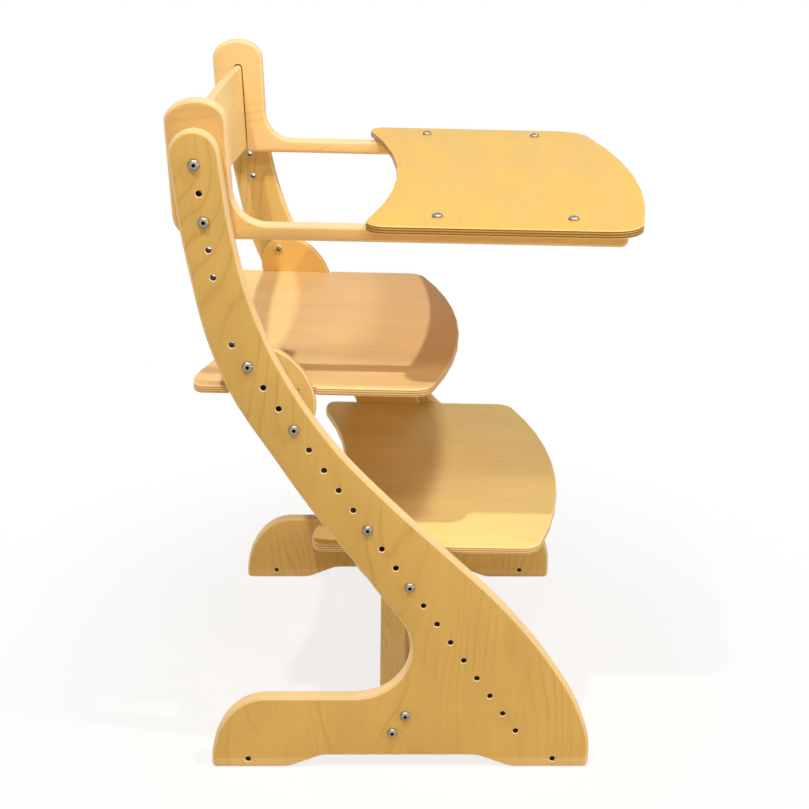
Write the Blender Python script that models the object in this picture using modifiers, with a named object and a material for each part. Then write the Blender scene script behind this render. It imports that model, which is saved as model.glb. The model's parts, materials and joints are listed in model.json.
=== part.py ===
"""Wooden high chair: plywood plates held together by machine screws.

Two S-shaped side panels carry a seat and a footrest on bolted brackets, two L-shaped arms with a backrest
and a tray, and a stretcher close to the floor. A slanting row of holes in each panel lets the seat and the
footrest be bolted higher or lower, and a short upper row does the same for the arms.

Metres, +Z up. The chair faces +X and the sitter's left is +Y. The origin lies on the floor under the middle
of the overall box.
"""

from math import atan2, cos, hypot, pi, radians, sin, sqrt, tan

import bmesh
import bpy
from mathutils import Matrix, Vector

OBJECT_NAME = "wooden_high_chair"

# Stock and clearances
OVERALL_WIDTH = 0.500  # over the outer faces of the side panels
PANEL_T = 0.018  # side panels, arms and stretcher
PLATE_T = 0.010  # tray, seat, footrest, backrest and brackets
FIT = 0.0003  # gap between pieces that touch

# Rows of holes in the side panels
HOLE_D = 0.007
HOLE_PITCH = 0.030
ROW_TOP_X = -0.2019
ROW_TOP_Z = 0.5562
ROW_LEAN = radians(33.2)
ROW_LENGTH = 0.600
UPPER_TOP_X = -0.2335
UPPER_TOP_Z = 0.755
UPPER_LEAN = radians(6.8)
UPPER_PITCH = 0.0308
UPPER_LENGTH = 0.1232
ARM_BOLT_HOLES = 2  # holes from an arm's upper bolt to its lower one

# Side panel
FOOT_REAR_X = -0.2478
FOOT_FRONT_X = 0.2188
FOOT_TOP_Z = 0.102
FOOT_CORNER_R = 0.0065
FOOT_HOLE_INSET = 0.045
FOOT_HOLE_Z = 0.013
HEEL_LENGTH = 0.069
ARCH_HEIGHT = 0.017
ARCH_RAMP = 0.042
ARCH_ROUND_R = 0.040
REAR_PAD = 0.0945
FRONT_PAD = 0.097
FRONT_STRAIGHT = 0.027
THROAT_X = -0.0708
THROAT_R = 0.0675
THROAT_TURN = radians(37.0)
NECK_HALF_WIDTH = 0.0272
NECK_SHIFT = 0.0008
NECK_RISE = 0.009
PANEL_ROUND = 0.005

# Panel edge between the straight features, in distance along a row of holes and distance forward of it
FRONT_EDGE_FOOT = ((-0.0150, 0.085), (-0.0500, 0.148))
FRONT_EDGE_MAIN = (
    (0.441, 0.0787), (0.353, 0.0610), (0.254, 0.0400), (0.173, 0.0273), (0.126, 0.0250), (0.021, 0.0339),
)
FRONT_EDGE_UPPER = ((0.145, 0.0343), (0.077, 0.0282))
REAR_EDGE_UPPER = ((0.058, -0.0275), (0.123, -0.0249))
REAR_EDGE_MAIN = (
    (-0.027, -0.0178), (0.043, -0.0350), (0.142, -0.0400), (0.220, -0.0410), (0.302, -0.0371),
)

# Arms: an upright stem with a level bar that carries the tray
ARM_X = -0.2286  # middle of the stem where it meets the underside of the bar
ARM_Z = 0.6699
ARM_FALL = radians(1.0)
ARM_REACH = 0.457
ARM_HEIGHT = 0.018
ARM_NOSE_R = 0.008
ARM_ROUND = 0.005
STEM_WIDTH = 0.066
STEM_HEIGHT = 0.1497
STEM_CROWN = 0.024
STEM_LEAN = radians(3.0)
STEM_HEEL_R = 0.026
STEM_THROAT_R = 0.037

# Backrest, bent backwards and held in a groove in each stem
GROOVE_DEPTH = 0.009
GROOVE_PLAY = 0.002
BACK_LOW = 0.004
BACK_TOP = 0.116
BACK_LOW_RISE = 0.005
BACK_LOW_CORNER_R = 0.014
BACK_END_GAP = 0.0015
BACK_BOW = 0.0095
BACK_ROUND = 0.004
BACK_STATIONS = 12

# Tray, measured from the middle of the stem along the bar
TRAY_OVERHANG = 0.015  # past the outer face of a side panel
TRAY_REAR = 0.2078
TRAY_REAR_R = 0.860
TRAY_REAR_CORNER_R = 0.020
TRAY_FRONT = 0.4975
TRAY_FRONT_R = 1.060
TRAY_FRONT_CORNER_R = 0.042
TRAY_ROUND = 0.002
TRAY_BOLT_REAR = 0.2498
TRAY_BOLT_SPACING = 0.147

# Seat and footrest: one plate twice, measured from the middle of its brackets
SEAT_WIDTH = 0.452
SEAT_FRONT = 0.2195
SEAT_FRONT_R = 0.600
SEAT_FRONT_CORNER_R = 0.025
SEAT_REAR = -0.058
SEAT_REAR_R = 0.560
SEAT_TAIL_R = 0.060
SEAT_TAIL_INSET = 0.025
SEAT_TAIL_CORNER_R = 0.006
SEAT_ROUND = 0.0025
NOTCH_PLAY = 0.0065
TENON_LENGTH = 0.060
SEAT_HOLE = 1  # upper bracket bolt, counted from the top of the row
FOOTREST_HOLE = 9
SEAT_FALL = radians(1.1)
FOOTREST_FALL = radians(0.9)

# Brackets
BRACKET_BOLT_HOLES = 3  # holes of the row from the upper bolt to the lower one
BRACKET_END = 0.015
BRACKET_HALF_WIDTH = 0.0435
BRACKET_ROUND = 0.0035

# Stretcher
STRETCHER_X = -0.017
STRETCHER_Z = 0.0642
STRETCHER_LEAN = radians(33.0)
STRETCHER_DEPTH = 0.065
STRETCHER_ROUND = 0.005
STRETCHER_BOLT_SPACING = 0.029

# Screws, nuts and inserts
BOLT_D = 0.006
HEAD_D = 0.0125
HEAD_HEIGHT = 0.0035
HEAD_RIM = 0.0008
HEAD_FLAT_D = 0.0062  # flat top of the head
HEAD_SHOULDER_D = 0.0100
HEAD_SHOULDER = 0.0025  # height of the dome at that diameter
SOCKET_WIDTH = 0.004
SOCKET_DEPTH = 0.0021
BOLT_TIP_GAP = 0.002
SLEEVE_D = 0.0086
SLEEVE_LENGTH = 0.008
FLANGE_D = 0.012
FLANGE_T = 0.0015
BARREL_D = 0.010
BARREL_LENGTH = 0.013
BARREL_INSET = 0.030
BORE_D = BOLT_D + 2 * FIT
SLEEVE_HOLE_D = SLEEVE_D + 2 * FIT

# Facets
HOLE_SIDES = 10
TURN_STEPS = 12
HEX_SIDES = 6
ARC_STEP = radians(14.0)
SMALL_R = 0.010  # arcs below this radius take the coarse step
SMALL_ARC_STEP = radians(30.0)
EDGE_STEPS = 3
BOW_STEPS = 6
ROUND_STEPS = 2
SHARP_ANGLE = radians(40.0)
WELD = 1e-6
CUT_PAST = 0.004  # how far a cutter reaches beyond the face that it opens

# Finishes: linear colour, roughness, metallic
BIRCH_SIDE = ((0.62, 0.38, 0.13), 0.50, 0.0)
BIRCH_TOP = ((0.78, 0.56, 0.28), 0.45, 0.0)
ZINC = ((0.55, 0.55, 0.53), 0.32, 1.0)

# Places that follow from the sizes
PANEL_Y = (OVERALL_WIDTH - PANEL_T) / 2
PANEL_INNER_Y = OVERALL_WIDTH / 2 - PANEL_T
ARM_Y = PANEL_INNER_Y - FIT - PANEL_T / 2
ARM_INNER_Y = ARM_Y - PANEL_T / 2
BRACKET_Y = PANEL_INNER_Y - FIT - PLATE_T / 2
BRACKET_INNER_Y = BRACKET_Y - PLATE_T / 2
BACK_LEAN = STEM_LEAN - ARM_FALL
GROOVE_WIDTH = PLATE_T + GROOVE_PLAY
TRAY_WIDTH = OVERALL_WIDTH + 2 * TRAY_OVERHANG
BRACKET_HALF_LENGTH = BRACKET_BOLT_HOLES * HOLE_PITCH / 2 + BRACKET_END

SIDES = (("right", -1), ("left", 1))
UPRIGHT = Matrix.Rotation(pi / 2, 4, "X")  # lays a flat outline into the XZ plane

parts = bpy.data.collections.new(OBJECT_NAME)
cutters = bpy.data.collections.new(OBJECT_NAME + "_cutters")


def clear_scene():
    """Remove every object and show the two collections."""
    for item in list(bpy.data.objects):
        bpy.data.objects.remove(item)
    for collection in (parts, cutters):
        bpy.context.scene.collection.children.link(collection)


def row_point(top_x, top_z, lean, along, across):
    """Point at a distance down a leaning row, and forward of it."""
    return (
        top_x + along * sin(lean) + across * cos(lean),
        top_z - along * cos(lean) + across * sin(lean),
    )


def main_row(along, across=0.0):
    """Point of the long row of holes."""
    return row_point(ROW_TOP_X, ROW_TOP_Z, ROW_LEAN, along, across)


def upper_row(along, across=0.0):
    """Point of the short row of holes behind the backrest."""
    return row_point(UPPER_TOP_X, UPPER_TOP_Z, UPPER_LEAN, along, across)


def stem_point(along, across):
    """Point of the arm's own plane, at a distance up the leaning stem and forward of its middle."""
    return (
        -along * sin(STEM_LEAN) + across * cos(STEM_LEAN),
        along * cos(STEM_LEAN) + across * sin(STEM_LEAN),
    )


def hole_count(length, pitch):
    """Number of holes in a row."""
    return int(length / pitch + 0.5) + 1


def arc(centre, radius, start, end, across=None):
    """Points of an arc, or of an ellipse where the second half axis is given."""
    other = radius if across is None else across
    stride = SMALL_ARC_STEP if radius < SMALL_R else ARC_STEP
    steps = max(1, round(abs(end - start) / stride))
    angles = [start + (end - start) * step / steps for step in range(steps + 1)]
    return [(centre[0] + radius * cos(angle), centre[1] + other * sin(angle)) for angle in angles]


def bow(centre, radius, start, end):
    """Points of a long shallow arc."""
    angles = [start + (end - start) * step / BOW_STEPS for step in range(BOW_STEPS + 1)]
    return [(centre[0] + radius * cos(angle), centre[1] + radius * sin(angle)) for angle in angles]


def rounded(corners):
    """Outline through corners (x, y, radius), each turned into an arc where it has a radius."""
    points = []
    for index, (x, y, radius) in enumerate(corners):
        corner = Vector((x, y))
        if radius == 0:
            points.append((x, y))
            continue
        back = (Vector(corners[index - 1][:2]) - corner).normalized()
        ahead = (Vector(corners[(index + 1) % len(corners)][:2]) - corner).normalized()
        half = back.angle(ahead) / 2
        centre = corner + (back + ahead).normalized() * radius / sin(half)
        first = corner + back * radius / tan(half) - centre
        last = corner + ahead * radius / tan(half) - centre
        start = atan2(first.y, first.x)
        turn = (atan2(last.y, last.x) - start + pi) % (2 * pi) - pi
        points += arc(centre, radius, start, start + turn)
    return points


def smooth(anchors, start, end):
    """Points of a smooth line through anchors, with unit directions at its two ends."""
    spots = [Vector(anchor) for anchor in anchors]
    chords = [(after - before).length for before, after in zip(spots, spots[1:])]
    slopes = [Vector(start)]
    for index in range(1, len(spots) - 1):
        before, after = chords[index - 1], chords[index]
        leaving = (spots[index + 1] - spots[index]) / after
        arriving = (spots[index] - spots[index - 1]) / before
        slopes.append((arriving * after + leaving * before) / (before + after))
    slopes.append(Vector(end))
    points = [tuple(spots[0])]
    for index, chord in enumerate(chords):
        for step in range(1, EDGE_STEPS + 1):
            t = step / EDGE_STEPS
            spot = (
                spots[index] * (2 * t**3 - 3 * t**2 + 1)
                + slopes[index] * chord * (t**3 - 2 * t**2 + t)
                + spots[index + 1] * (3 * t**2 - 2 * t**3)
                + slopes[index + 1] * chord * (t**3 - t**2)
            )
            points.append(tuple(spot))
    return points


def mirrored(half):
    """Close a half outline that starts and ends on the middle line."""
    return half + [(x, -y) for x, y in reversed(half[1:-1])]


def finish(mesh, look):
    """Give a mesh its own material."""
    colour, roughness, metallic = look
    material = bpy.data.materials.new(mesh.name + "_finish")
    material.use_nodes = True
    shader = material.node_tree.nodes["Principled BSDF"]
    shader.inputs["Base Color"].default_value = (*colour, 1.0)
    shader.inputs["Roughness"].default_value = roughness
    shader.inputs["Metallic"].default_value = metallic
    mesh.materials.append(material)


def weld(mesh):
    """Join the loose caps of an evaluated shape and point its faces outwards."""
    shape = bmesh.new()
    shape.from_mesh(mesh)
    bmesh.ops.remove_doubles(shape, verts=shape.verts, dist=WELD)
    bmesh.ops.recalc_face_normals(shape, faces=shape.faces)
    shape.to_mesh(mesh)
    shape.free()


def evaluated_mesh(source, name):
    """Mesh of an object as its modifiers leave it; the object itself is removed."""
    bpy.context.scene.collection.objects.link(source)
    final = source.evaluated_get(bpy.context.evaluated_depsgraph_get())
    mesh = bpy.data.meshes.new_from_object(final)
    mesh.name = name
    bpy.data.objects.remove(source)
    weld(mesh)
    return mesh


def plate_mesh(name, outline, thickness, round_over=0.0, round_steps=1):
    """Flat plate from an outline, centred on its thickness, with its edges rounded over."""
    curve = bpy.data.curves.new(name, "CURVE")
    curve.dimensions = "2D"
    curve.fill_mode = "BOTH"
    curve.extrude = thickness / 2 - round_over
    curve.bevel_depth = round_over
    curve.bevel_resolution = round_steps - 1
    curve.offset = -round_over
    spline = curve.splines.new("POLY")
    spline.points.add(len(outline) - 1)
    for point, (x, y) in zip(spline.points, outline):
        point.co = (x, y, 0.0, 1.0)
    spline.use_cyclic_u = True
    return evaluated_mesh(bpy.data.objects.new(name, curve), name)


def turned_object(name, profile, closed):
    """Object turned around +Z from a profile of (radius, height) points."""
    mesh = bpy.data.meshes.new(name)
    shape = bmesh.new()
    spots = [shape.verts.new((radius, 0.0, height)) for radius, height in profile]
    for before, after in zip(spots, spots[1:]):
        shape.edges.new((before, after))
    if closed:
        shape.edges.new((spots[-1], spots[0]))
    shape.to_mesh(mesh)
    shape.free()
    item = bpy.data.objects.new(name, mesh)
    screw = item.modifiers.new("turn", "SCREW")
    screw.steps = TURN_STEPS
    screw.render_steps = TURN_STEPS
    screw.use_merge_vertices = True
    screw.merge_threshold = WELD
    return item


def shade_round(mesh):
    """Smooth shading with the hard edges kept."""
    mesh.shade_smooth()
    mesh.set_sharp_from_angle(angle=SHARP_ANGLE)


def cut(item, tool, name="cut"):
    """Cut one object with another."""
    modifier = item.modifiers.new(name, "BOOLEAN")
    modifier.operation = "DIFFERENCE"
    modifier.object = tool


def hide_tool(tool):
    """Show a cutter as wire only."""
    tool.hide_render = True
    tool.display_type = "WIRE"


def attach(item, unit):
    """Parent an object to a unit's empty and leave it where it is."""
    item.parent = unit
    item.matrix_parent_inverse = Matrix.Translation(unit.location).inverted()


def add_part(name, mesh, matrix, unit):
    """Place one piece of the chair."""
    item = bpy.data.objects.new(name, mesh)
    parts.objects.link(item)
    item.matrix_world = matrix
    attach(item, unit)
    return item


def add_unit(name, x, z):
    """Empty that carries the pieces of one unit."""
    unit = bpy.data.objects.new(name, None)
    parts.objects.link(unit)
    unit.location = (x, 0.0, z)
    return unit


def add_tool(name, shape, unit):
    """Turn a bmesh drawn in place into a hidden cutter."""
    mesh = bpy.data.meshes.new(name)
    shape.to_mesh(mesh)
    shape.free()
    tool = bpy.data.objects.new(name, mesh)
    cutters.objects.link(tool)
    attach(tool, unit)
    hide_tool(tool)
    return tool


def add_drill(shape, matrix, diameter, depth):
    """Add a round hole to a cutter, from the matrix's origin down its -Z."""
    middle = matrix @ Matrix.Translation((0.0, 0.0, (CUT_PAST - depth) / 2))
    bmesh.ops.create_cone(
        shape,
        cap_ends=True,
        segments=HOLE_SIDES,
        radius1=diameter / 2,
        radius2=diameter / 2,
        depth=depth + CUT_PAST,
        matrix=middle,
    )


def side_matrix(x, z, sign, y):
    """Place on a side of the chair, with +Z pointing outwards."""
    return Matrix.Translation((x, sign * y, z)) @ Matrix.Rotation(-sign * pi / 2, 4, "X")


def arm_matrix(along=0.0, y=0.0, up=0.0):
    """Place in the arms' frame, which falls a little to the front."""
    origin = Matrix.Translation((ARM_X, 0.0, ARM_Z)) @ Matrix.Rotation(ARM_FALL, 4, "Y")
    return origin @ Matrix.Translation((along, y, up))


def bolt_mesh(name, length):
    """Button-head socket screw with the underside of its head at the origin."""
    profile = [
        (0.0, HEAD_HEIGHT),
        (HEAD_FLAT_D / 2, HEAD_HEIGHT),
        (HEAD_SHOULDER_D / 2, HEAD_SHOULDER),
        (HEAD_D / 2, HEAD_RIM),
        (HEAD_D / 2, 0.0),
        (BOLT_D / 2, 0.0),
        (BOLT_D / 2, -length),
        (0.0, -length),
    ]
    item = turned_object(name, profile, closed=False)
    socket = bmesh.new()
    bmesh.ops.create_cone(
        socket,
        cap_ends=True,
        segments=HEX_SIDES,
        radius1=SOCKET_WIDTH / sqrt(3),
        radius2=SOCKET_WIDTH / sqrt(3),
        depth=SOCKET_DEPTH + CUT_PAST,
        matrix=Matrix.Translation((0.0, 0.0, HEAD_HEIGHT + (CUT_PAST - SOCKET_DEPTH) / 2)),
    )
    tool_mesh = bpy.data.meshes.new(name + "_socket")
    socket.to_mesh(tool_mesh)
    socket.free()
    tool = bpy.data.objects.new(name + "_socket", tool_mesh)
    bpy.context.scene.collection.objects.link(tool)
    cut(item, tool)
    mesh = evaluated_mesh(item, name)
    bpy.data.objects.remove(tool)
    shade_round(mesh)
    finish(mesh, ZINC)
    return mesh


def sleeve_mesh(name, flanged):
    """Threaded sleeve with its mouth at the origin; a flanged one has its flange above the mouth."""
    bore, body, flange = BORE_D / 2, SLEEVE_D / 2, FLANGE_D / 2
    mouth = [(bore, FLANGE_T), (flange, FLANGE_T), (flange, 0.0)] if flanged else [(bore, 0.0)]
    profile = mouth + [(body, 0.0), (body, -SLEEVE_LENGTH), (bore, -SLEEVE_LENGTH)]
    mesh = evaluated_mesh(turned_object(name, profile, closed=True), name)
    shade_round(mesh)
    finish(mesh, ZINC)
    return mesh


def panel_outline():
    """Side panel in the XZ plane, from the heel along the floor, up the front and down the rear."""
    heel_x = FOOT_REAR_X + HEEL_LENGTH
    arch_rear = FOOT_REAR_X + REAR_PAD
    arch_front = FOOT_FRONT_X - FRONT_PAD
    floor = rounded(
        [
            (FOOT_REAR_X, FOOT_TOP_Z, 0.0),
            (FOOT_REAR_X, 0.0, FOOT_CORNER_R),
            (arch_rear, 0.0, 0.0),
            (arch_rear + ARCH_RAMP, ARCH_HEIGHT, ARCH_ROUND_R),
            (arch_front - ARCH_RAMP, ARCH_HEIGHT, ARCH_ROUND_R),
            (arch_front, 0.0, 0.0),
            (FOOT_FRONT_X, 0.0, FOOT_CORNER_R),
            (FOOT_FRONT_X, FRONT_STRAIGHT, 0.0),
        ]
    )
    lobe = upper_row(-NECK_RISE, NECK_SHIFT)
    crown = arc(lobe, NECK_HALF_WIDTH, UPPER_LEAN, UPPER_LEAN + pi)
    front_anchors = [(FOOT_FRONT_X, FRONT_STRAIGHT)]
    front_anchors += [(FOOT_FRONT_X + x, z) for x, z in FRONT_EDGE_FOOT]
    front_anchors += [main_row(*spot) for spot in FRONT_EDGE_MAIN]
    front_anchors += [upper_row(*spot) for spot in FRONT_EDGE_UPPER]
    front_anchors.append(crown[0])
    front = smooth(front_anchors, (0.0, 1.0), (-sin(UPPER_LEAN), cos(UPPER_LEAN)))
    throat_centre = (THROAT_X, FOOT_TOP_Z + THROAT_R)
    throat = arc(throat_centre, THROAT_R, THROAT_TURN, -pi / 2)
    rear_anchors = [crown[-1]]
    rear_anchors += [upper_row(*spot) for spot in REAR_EDGE_UPPER]
    rear_anchors += [main_row(*spot) for spot in REAR_EDGE_MAIN]
    rear_anchors.append(throat[0])
    rear = smooth(rear_anchors, (sin(UPPER_LEAN), -cos(UPPER_LEAN)), (sin(THROAT_TURN), -cos(THROAT_TURN)))
    heel = arc((heel_x, FOOT_CORNER_R), HEEL_LENGTH, pi / 2, pi, FOOT_TOP_Z - FOOT_CORNER_R)
    return floor[1:-1] + front + crown[1:] + rear[1:] + throat[1:] + heel[:-1]


def stretcher_bolt_spots():
    """Middles of the two stretcher bolts of a side, the upper one first."""
    reach = STRETCHER_BOLT_SPACING / 2
    return [
        (STRETCHER_X + step * sin(STRETCHER_LEAN), STRETCHER_Z + step * cos(STRETCHER_LEAN))
        for step in (reach, -reach)
    ]


def panel_hole_spots():
    """Middles of all the holes of a side panel."""
    spots = [main_row(index * HOLE_PITCH) for index in range(hole_count(ROW_LENGTH, HOLE_PITCH))]
    spots += [upper_row(index * UPPER_PITCH) for index in range(hole_count(UPPER_LENGTH, UPPER_PITCH))]
    spots += stretcher_bolt_spots()
    spots.append((FOOT_REAR_X + FOOT_HOLE_INSET, FOOT_HOLE_Z))
    spots.append((FOOT_FRONT_X - FOOT_HOLE_INSET, FOOT_HOLE_Z))
    return spots


def build_panels(unit):
    """The two side panels with their rows of holes."""
    mesh = plate_mesh("side_panel", panel_outline(), PANEL_T, PANEL_ROUND, ROUND_STEPS)
    finish(mesh, BIRCH_SIDE)
    for side, sign in SIDES:
        panel = add_part(
            f"side_panel_{side}", mesh, Matrix.Translation((0.0, sign * PANEL_Y, 0.0)) @ UPRIGHT, unit
        )
        drill = bmesh.new()
        for x, z in panel_hole_spots():
            add_drill(drill, side_matrix(x, z, sign, OVERALL_WIDTH / 2), HOLE_D, PANEL_T + CUT_PAST)
        cut(panel, add_tool(f"side_panel_{side}_holes", drill, unit))


def arm_outline():
    """L-shaped arm in its own plane."""
    half = STEM_WIDTH / 2
    rear_low = stem_point(half * tan(STEM_LEAN), -half)
    throat = stem_point((ARM_HEIGHT - half * sin(STEM_LEAN)) / cos(STEM_LEAN), half)
    crown = arc((STEM_HEIGHT - STEM_CROWN, 0.0), STEM_CROWN, pi / 2, -pi / 2, half)
    corners = [
        (*rear_low, STEM_HEEL_R),
        (ARM_REACH, 0.0, ARM_NOSE_R),
        (ARM_REACH, ARM_HEIGHT, ARM_NOSE_R),
        (*throat, STEM_THROAT_R),
    ]
    corners += [(*stem_point(along, across), 0.0) for along, across in crown]
    return rounded(corners)


def groove_outline():
    """Groove for an end of the backrest: round at its top and open under the arm."""
    half = GROOVE_WIDTH / 2
    top = BACK_TOP - BACK_ROUND + FIT
    end = arc((top, 0.0), half, pi / 2, -pi / 2)
    low = -STEM_HEEL_R
    return [stem_point(along, across) for along, across in [(low, half)] + end + [(low, -half)]]


def arm_bolt_spots():
    """Middles of the two bolts that hold an arm: the first and third holes of the upper row."""
    return [("upper", upper_row(0.0)), ("lower", upper_row(ARM_BOLT_HOLES * UPPER_PITCH))]


def tray_bolt_spots():
    """Distances of the two tray bolts of a side along the bar."""
    return [("rear", TRAY_BOLT_REAR), ("front", TRAY_BOLT_REAR + TRAY_BOLT_SPACING)]


def build_arms(unit, screw, insert):
    """The two arms with their screws and threaded inserts."""
    mesh = plate_mesh("tray_arm", arm_outline(), PANEL_T, ARM_ROUND, ROUND_STEPS)
    finish(mesh, BIRCH_SIDE)
    groove = plate_mesh("tray_arm_groove", groove_outline(), 2 * GROOVE_DEPTH)
    sunk = Matrix.Translation((0.0, 0.0, -FIT))
    for side, sign in SIDES:
        arm = add_part(f"tray_arm_{side}", mesh, arm_matrix(y=sign * ARM_Y) @ UPRIGHT, unit)
        tool = bpy.data.objects.new(f"tray_arm_{side}_groove", groove)
        cutters.objects.link(tool)
        tool.matrix_world = arm_matrix(y=sign * ARM_INNER_Y) @ UPRIGHT
        attach(tool, unit)
        hide_tool(tool)
        cut(arm, tool, "groove")
        drill = bmesh.new()
        for place, (x, z) in arm_bolt_spots():
            web = side_matrix(x, z, sign, ARM_Y + PANEL_T / 2)
            add_drill(drill, web, SLEEVE_HOLE_D, PANEL_T - GROOVE_DEPTH + CUT_PAST)
            add_part(
                f"arm_bolt_{side}_{place}", screw, side_matrix(x, z, sign, OVERALL_WIDTH / 2 + FIT), unit
            )
            add_part(f"arm_insert_{side}_{place}", insert, web @ sunk, unit)
        for place, along in tray_bolt_spots():
            top = arm_matrix(along, sign * ARM_Y, ARM_HEIGHT)
            add_drill(drill, top, SLEEVE_HOLE_D, SLEEVE_LENGTH + 2 * BOLT_TIP_GAP)
            add_part(f"tray_insert_{side}_{place}", insert, top @ sunk, unit)
        cut(arm, add_tool(f"tray_arm_{side}_holes", drill, unit), "holes")


def backrest_half_length():
    """Half the length of the backrest, whose ends stop short of the bottom of the grooves."""
    return ARM_INNER_Y + GROOVE_DEPTH - BACK_END_GAP


def backrest_sag(y):
    """How far the backrest is bent backwards at a distance from its middle."""
    return BACK_BOW * (1 - (y / backrest_half_length()) ** 2)


def backrest_low(y):
    """Height of the lower edge: a shallow arch with a round corner at each end."""
    half = backrest_half_length()
    into_corner = max(0.0, abs(y) - half + BACK_LOW_CORNER_R)
    corner = BACK_LOW_CORNER_R - sqrt(BACK_LOW_CORNER_R**2 - into_corner**2)
    return BACK_LOW + BACK_LOW_RISE * (1 - (y / half) ** 2) + corner


def backrest_section(y):
    """Rounded section of the backrest, as (forward, up) points."""
    deep = PLATE_T / 2 - BACK_ROUND
    high = BACK_TOP - BACK_ROUND
    low = backrest_low(y) + BACK_ROUND
    points = []
    for quarter, centre in enumerate(((deep, high), (-deep, high), (-deep, low), (deep, low))):
        for step in range(ROUND_STEPS + 1):
            angle = (quarter + step / ROUND_STEPS) * pi / 2
            points.append((centre[0] + BACK_ROUND * cos(angle), centre[1] + BACK_ROUND * sin(angle)))
    return [(forward - backrest_sag(y), up) for forward, up in points]


def backrest_stations():
    """Places of the backrest's sections, from its right end to its left one."""
    inner = backrest_half_length() - BACK_LOW_CORNER_R
    corner = [inner + BACK_LOW_CORNER_R * sin(pi / 4), backrest_half_length()]
    middle = [inner * (2 * step / BACK_STATIONS - 1) for step in range(BACK_STATIONS + 1)]
    return [-y for y in reversed(corner)] + middle + corner


def build_backrest(unit):
    """Bent board whose ends stand in the grooves of the stems."""
    shape = bmesh.new()
    rings = []
    for y in backrest_stations():
        rings.append([shape.verts.new((forward, y, up)) for forward, up in backrest_section(y)])
    for ring, after in zip(rings, rings[1:]):
        for index in range(len(ring)):
            shape.faces.new((ring[index - 1], ring[index], after[index], after[index - 1]))
    shape.faces.new(rings[0])
    shape.faces.new(rings[-1])
    bmesh.ops.recalc_face_normals(shape, faces=shape.faces)
    mesh = bpy.data.meshes.new("backrest")
    shape.to_mesh(mesh)
    shape.free()
    finish(mesh, BIRCH_TOP)
    forward = PLATE_T / 2 + FIT - GROOVE_WIDTH / 2 + backrest_sag(ARM_INNER_Y)
    lean = Matrix.Rotation(-BACK_LEAN, 4, "Y")
    place = Matrix.Translation((ARM_X, 0.0, ARM_Z)) @ lean @ Matrix.Translation((forward, 0.0, 0.0))
    add_part("backrest", mesh, place, unit)


def front_edge(half_width, front, radius, corner):
    """Bowed front edge from the middle line, round its corner to the side."""
    centre = front - radius
    corner_y = half_width - corner
    corner_x = centre + sqrt((radius - corner) ** 2 - corner_y**2)
    turn = atan2(corner_y, corner_x - centre)
    return bow((centre, 0.0), radius, 0.0, turn) + arc((corner_x, corner_y), corner, turn, pi / 2)[1:]


def tray_outline():
    """Tray with a bowed front and a hollow rear edge."""
    half = TRAY_WIDTH / 2
    centre = TRAY_REAR - TRAY_REAR_R
    corner_y = half - TRAY_REAR_CORNER_R
    corner_x = centre + sqrt((TRAY_REAR_R + TRAY_REAR_CORNER_R) ** 2 - corner_y**2)
    turn = atan2(corner_y, corner_x - centre)
    rear = arc((corner_x, corner_y), TRAY_REAR_CORNER_R, pi / 2, pi + turn)
    rear += bow((centre, 0.0), TRAY_REAR_R, turn, 0.0)[1:]
    return mirrored(front_edge(half, TRAY_FRONT, TRAY_FRONT_R, TRAY_FRONT_CORNER_R) + rear)


def build_tray(unit):
    """Tray on the two bars, with its four screws."""
    mesh = plate_mesh("tray", tray_outline(), PLATE_T, TRAY_ROUND)
    finish(mesh, BIRCH_TOP)
    low = ARM_HEIGHT + FIT
    tray = add_part("tray", mesh, arm_matrix(up=low + PLATE_T / 2), unit)
    screw = bolt_mesh("tray_screw", PLATE_T + SLEEVE_LENGTH)
    drill = bmesh.new()
    for side, sign in SIDES:
        for place, along in tray_bolt_spots():
            add_drill(drill, arm_matrix(along, sign * ARM_Y, low + PLATE_T), HOLE_D, PLATE_T + CUT_PAST)
            head = arm_matrix(along, sign * ARM_Y, low + PLATE_T + FIT)
            add_part(f"tray_bolt_{side}_{place}", screw, head, unit)
    cut(tray, add_tool("tray_holes", drill, unit))


def notch_half_length():
    """Half the length of the notch that clears a bracket at the level of the plate."""
    along = sin(ROW_LEAN) / BRACKET_HALF_LENGTH
    across = cos(ROW_LEAN) / BRACKET_HALF_WIDTH
    return 1 / hypot(along, across) + NOTCH_PLAY


def seat_outline():
    """Seat plate: bowed front, hollow rear between two tails, and a tenon in a notch on each side."""
    half = SEAT_WIDTH / 2
    notch = notch_half_length()
    tenon = TENON_LENGTH / 2
    floor = BRACKET_INNER_Y - FIT
    tip = BRACKET_Y + PLATE_T / 2 - FIT
    side = [(notch, half), (notch, floor), (tenon, floor), (tenon, tip)]
    side += [(-x, y) for x, y in reversed(side)]
    centre = SEAT_REAR - SEAT_REAR_R
    tail_y = half - SEAT_TAIL_INSET
    tail_x = centre + sqrt((SEAT_REAR_R + SEAT_TAIL_R) ** 2 - tail_y**2)
    turn = atan2(tail_y, tail_x - centre)
    corner_y = half - SEAT_TAIL_CORNER_R
    corner_x = tail_x - sqrt((SEAT_TAIL_R - SEAT_TAIL_CORNER_R) ** 2 - (corner_y - tail_y) ** 2)
    corner_turn = atan2(corner_y - tail_y, corner_x - tail_x)
    rear = arc((corner_x, corner_y), SEAT_TAIL_CORNER_R, pi / 2, corner_turn)
    rear += arc((tail_x, tail_y), SEAT_TAIL_R, corner_turn, pi + turn)[1:]
    rear += bow((centre, 0.0), SEAT_REAR_R, turn, 0.0)[1:]
    return mirrored(front_edge(half, SEAT_FRONT, SEAT_FRONT_R, SEAT_FRONT_CORNER_R) + side + rear)


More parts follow.
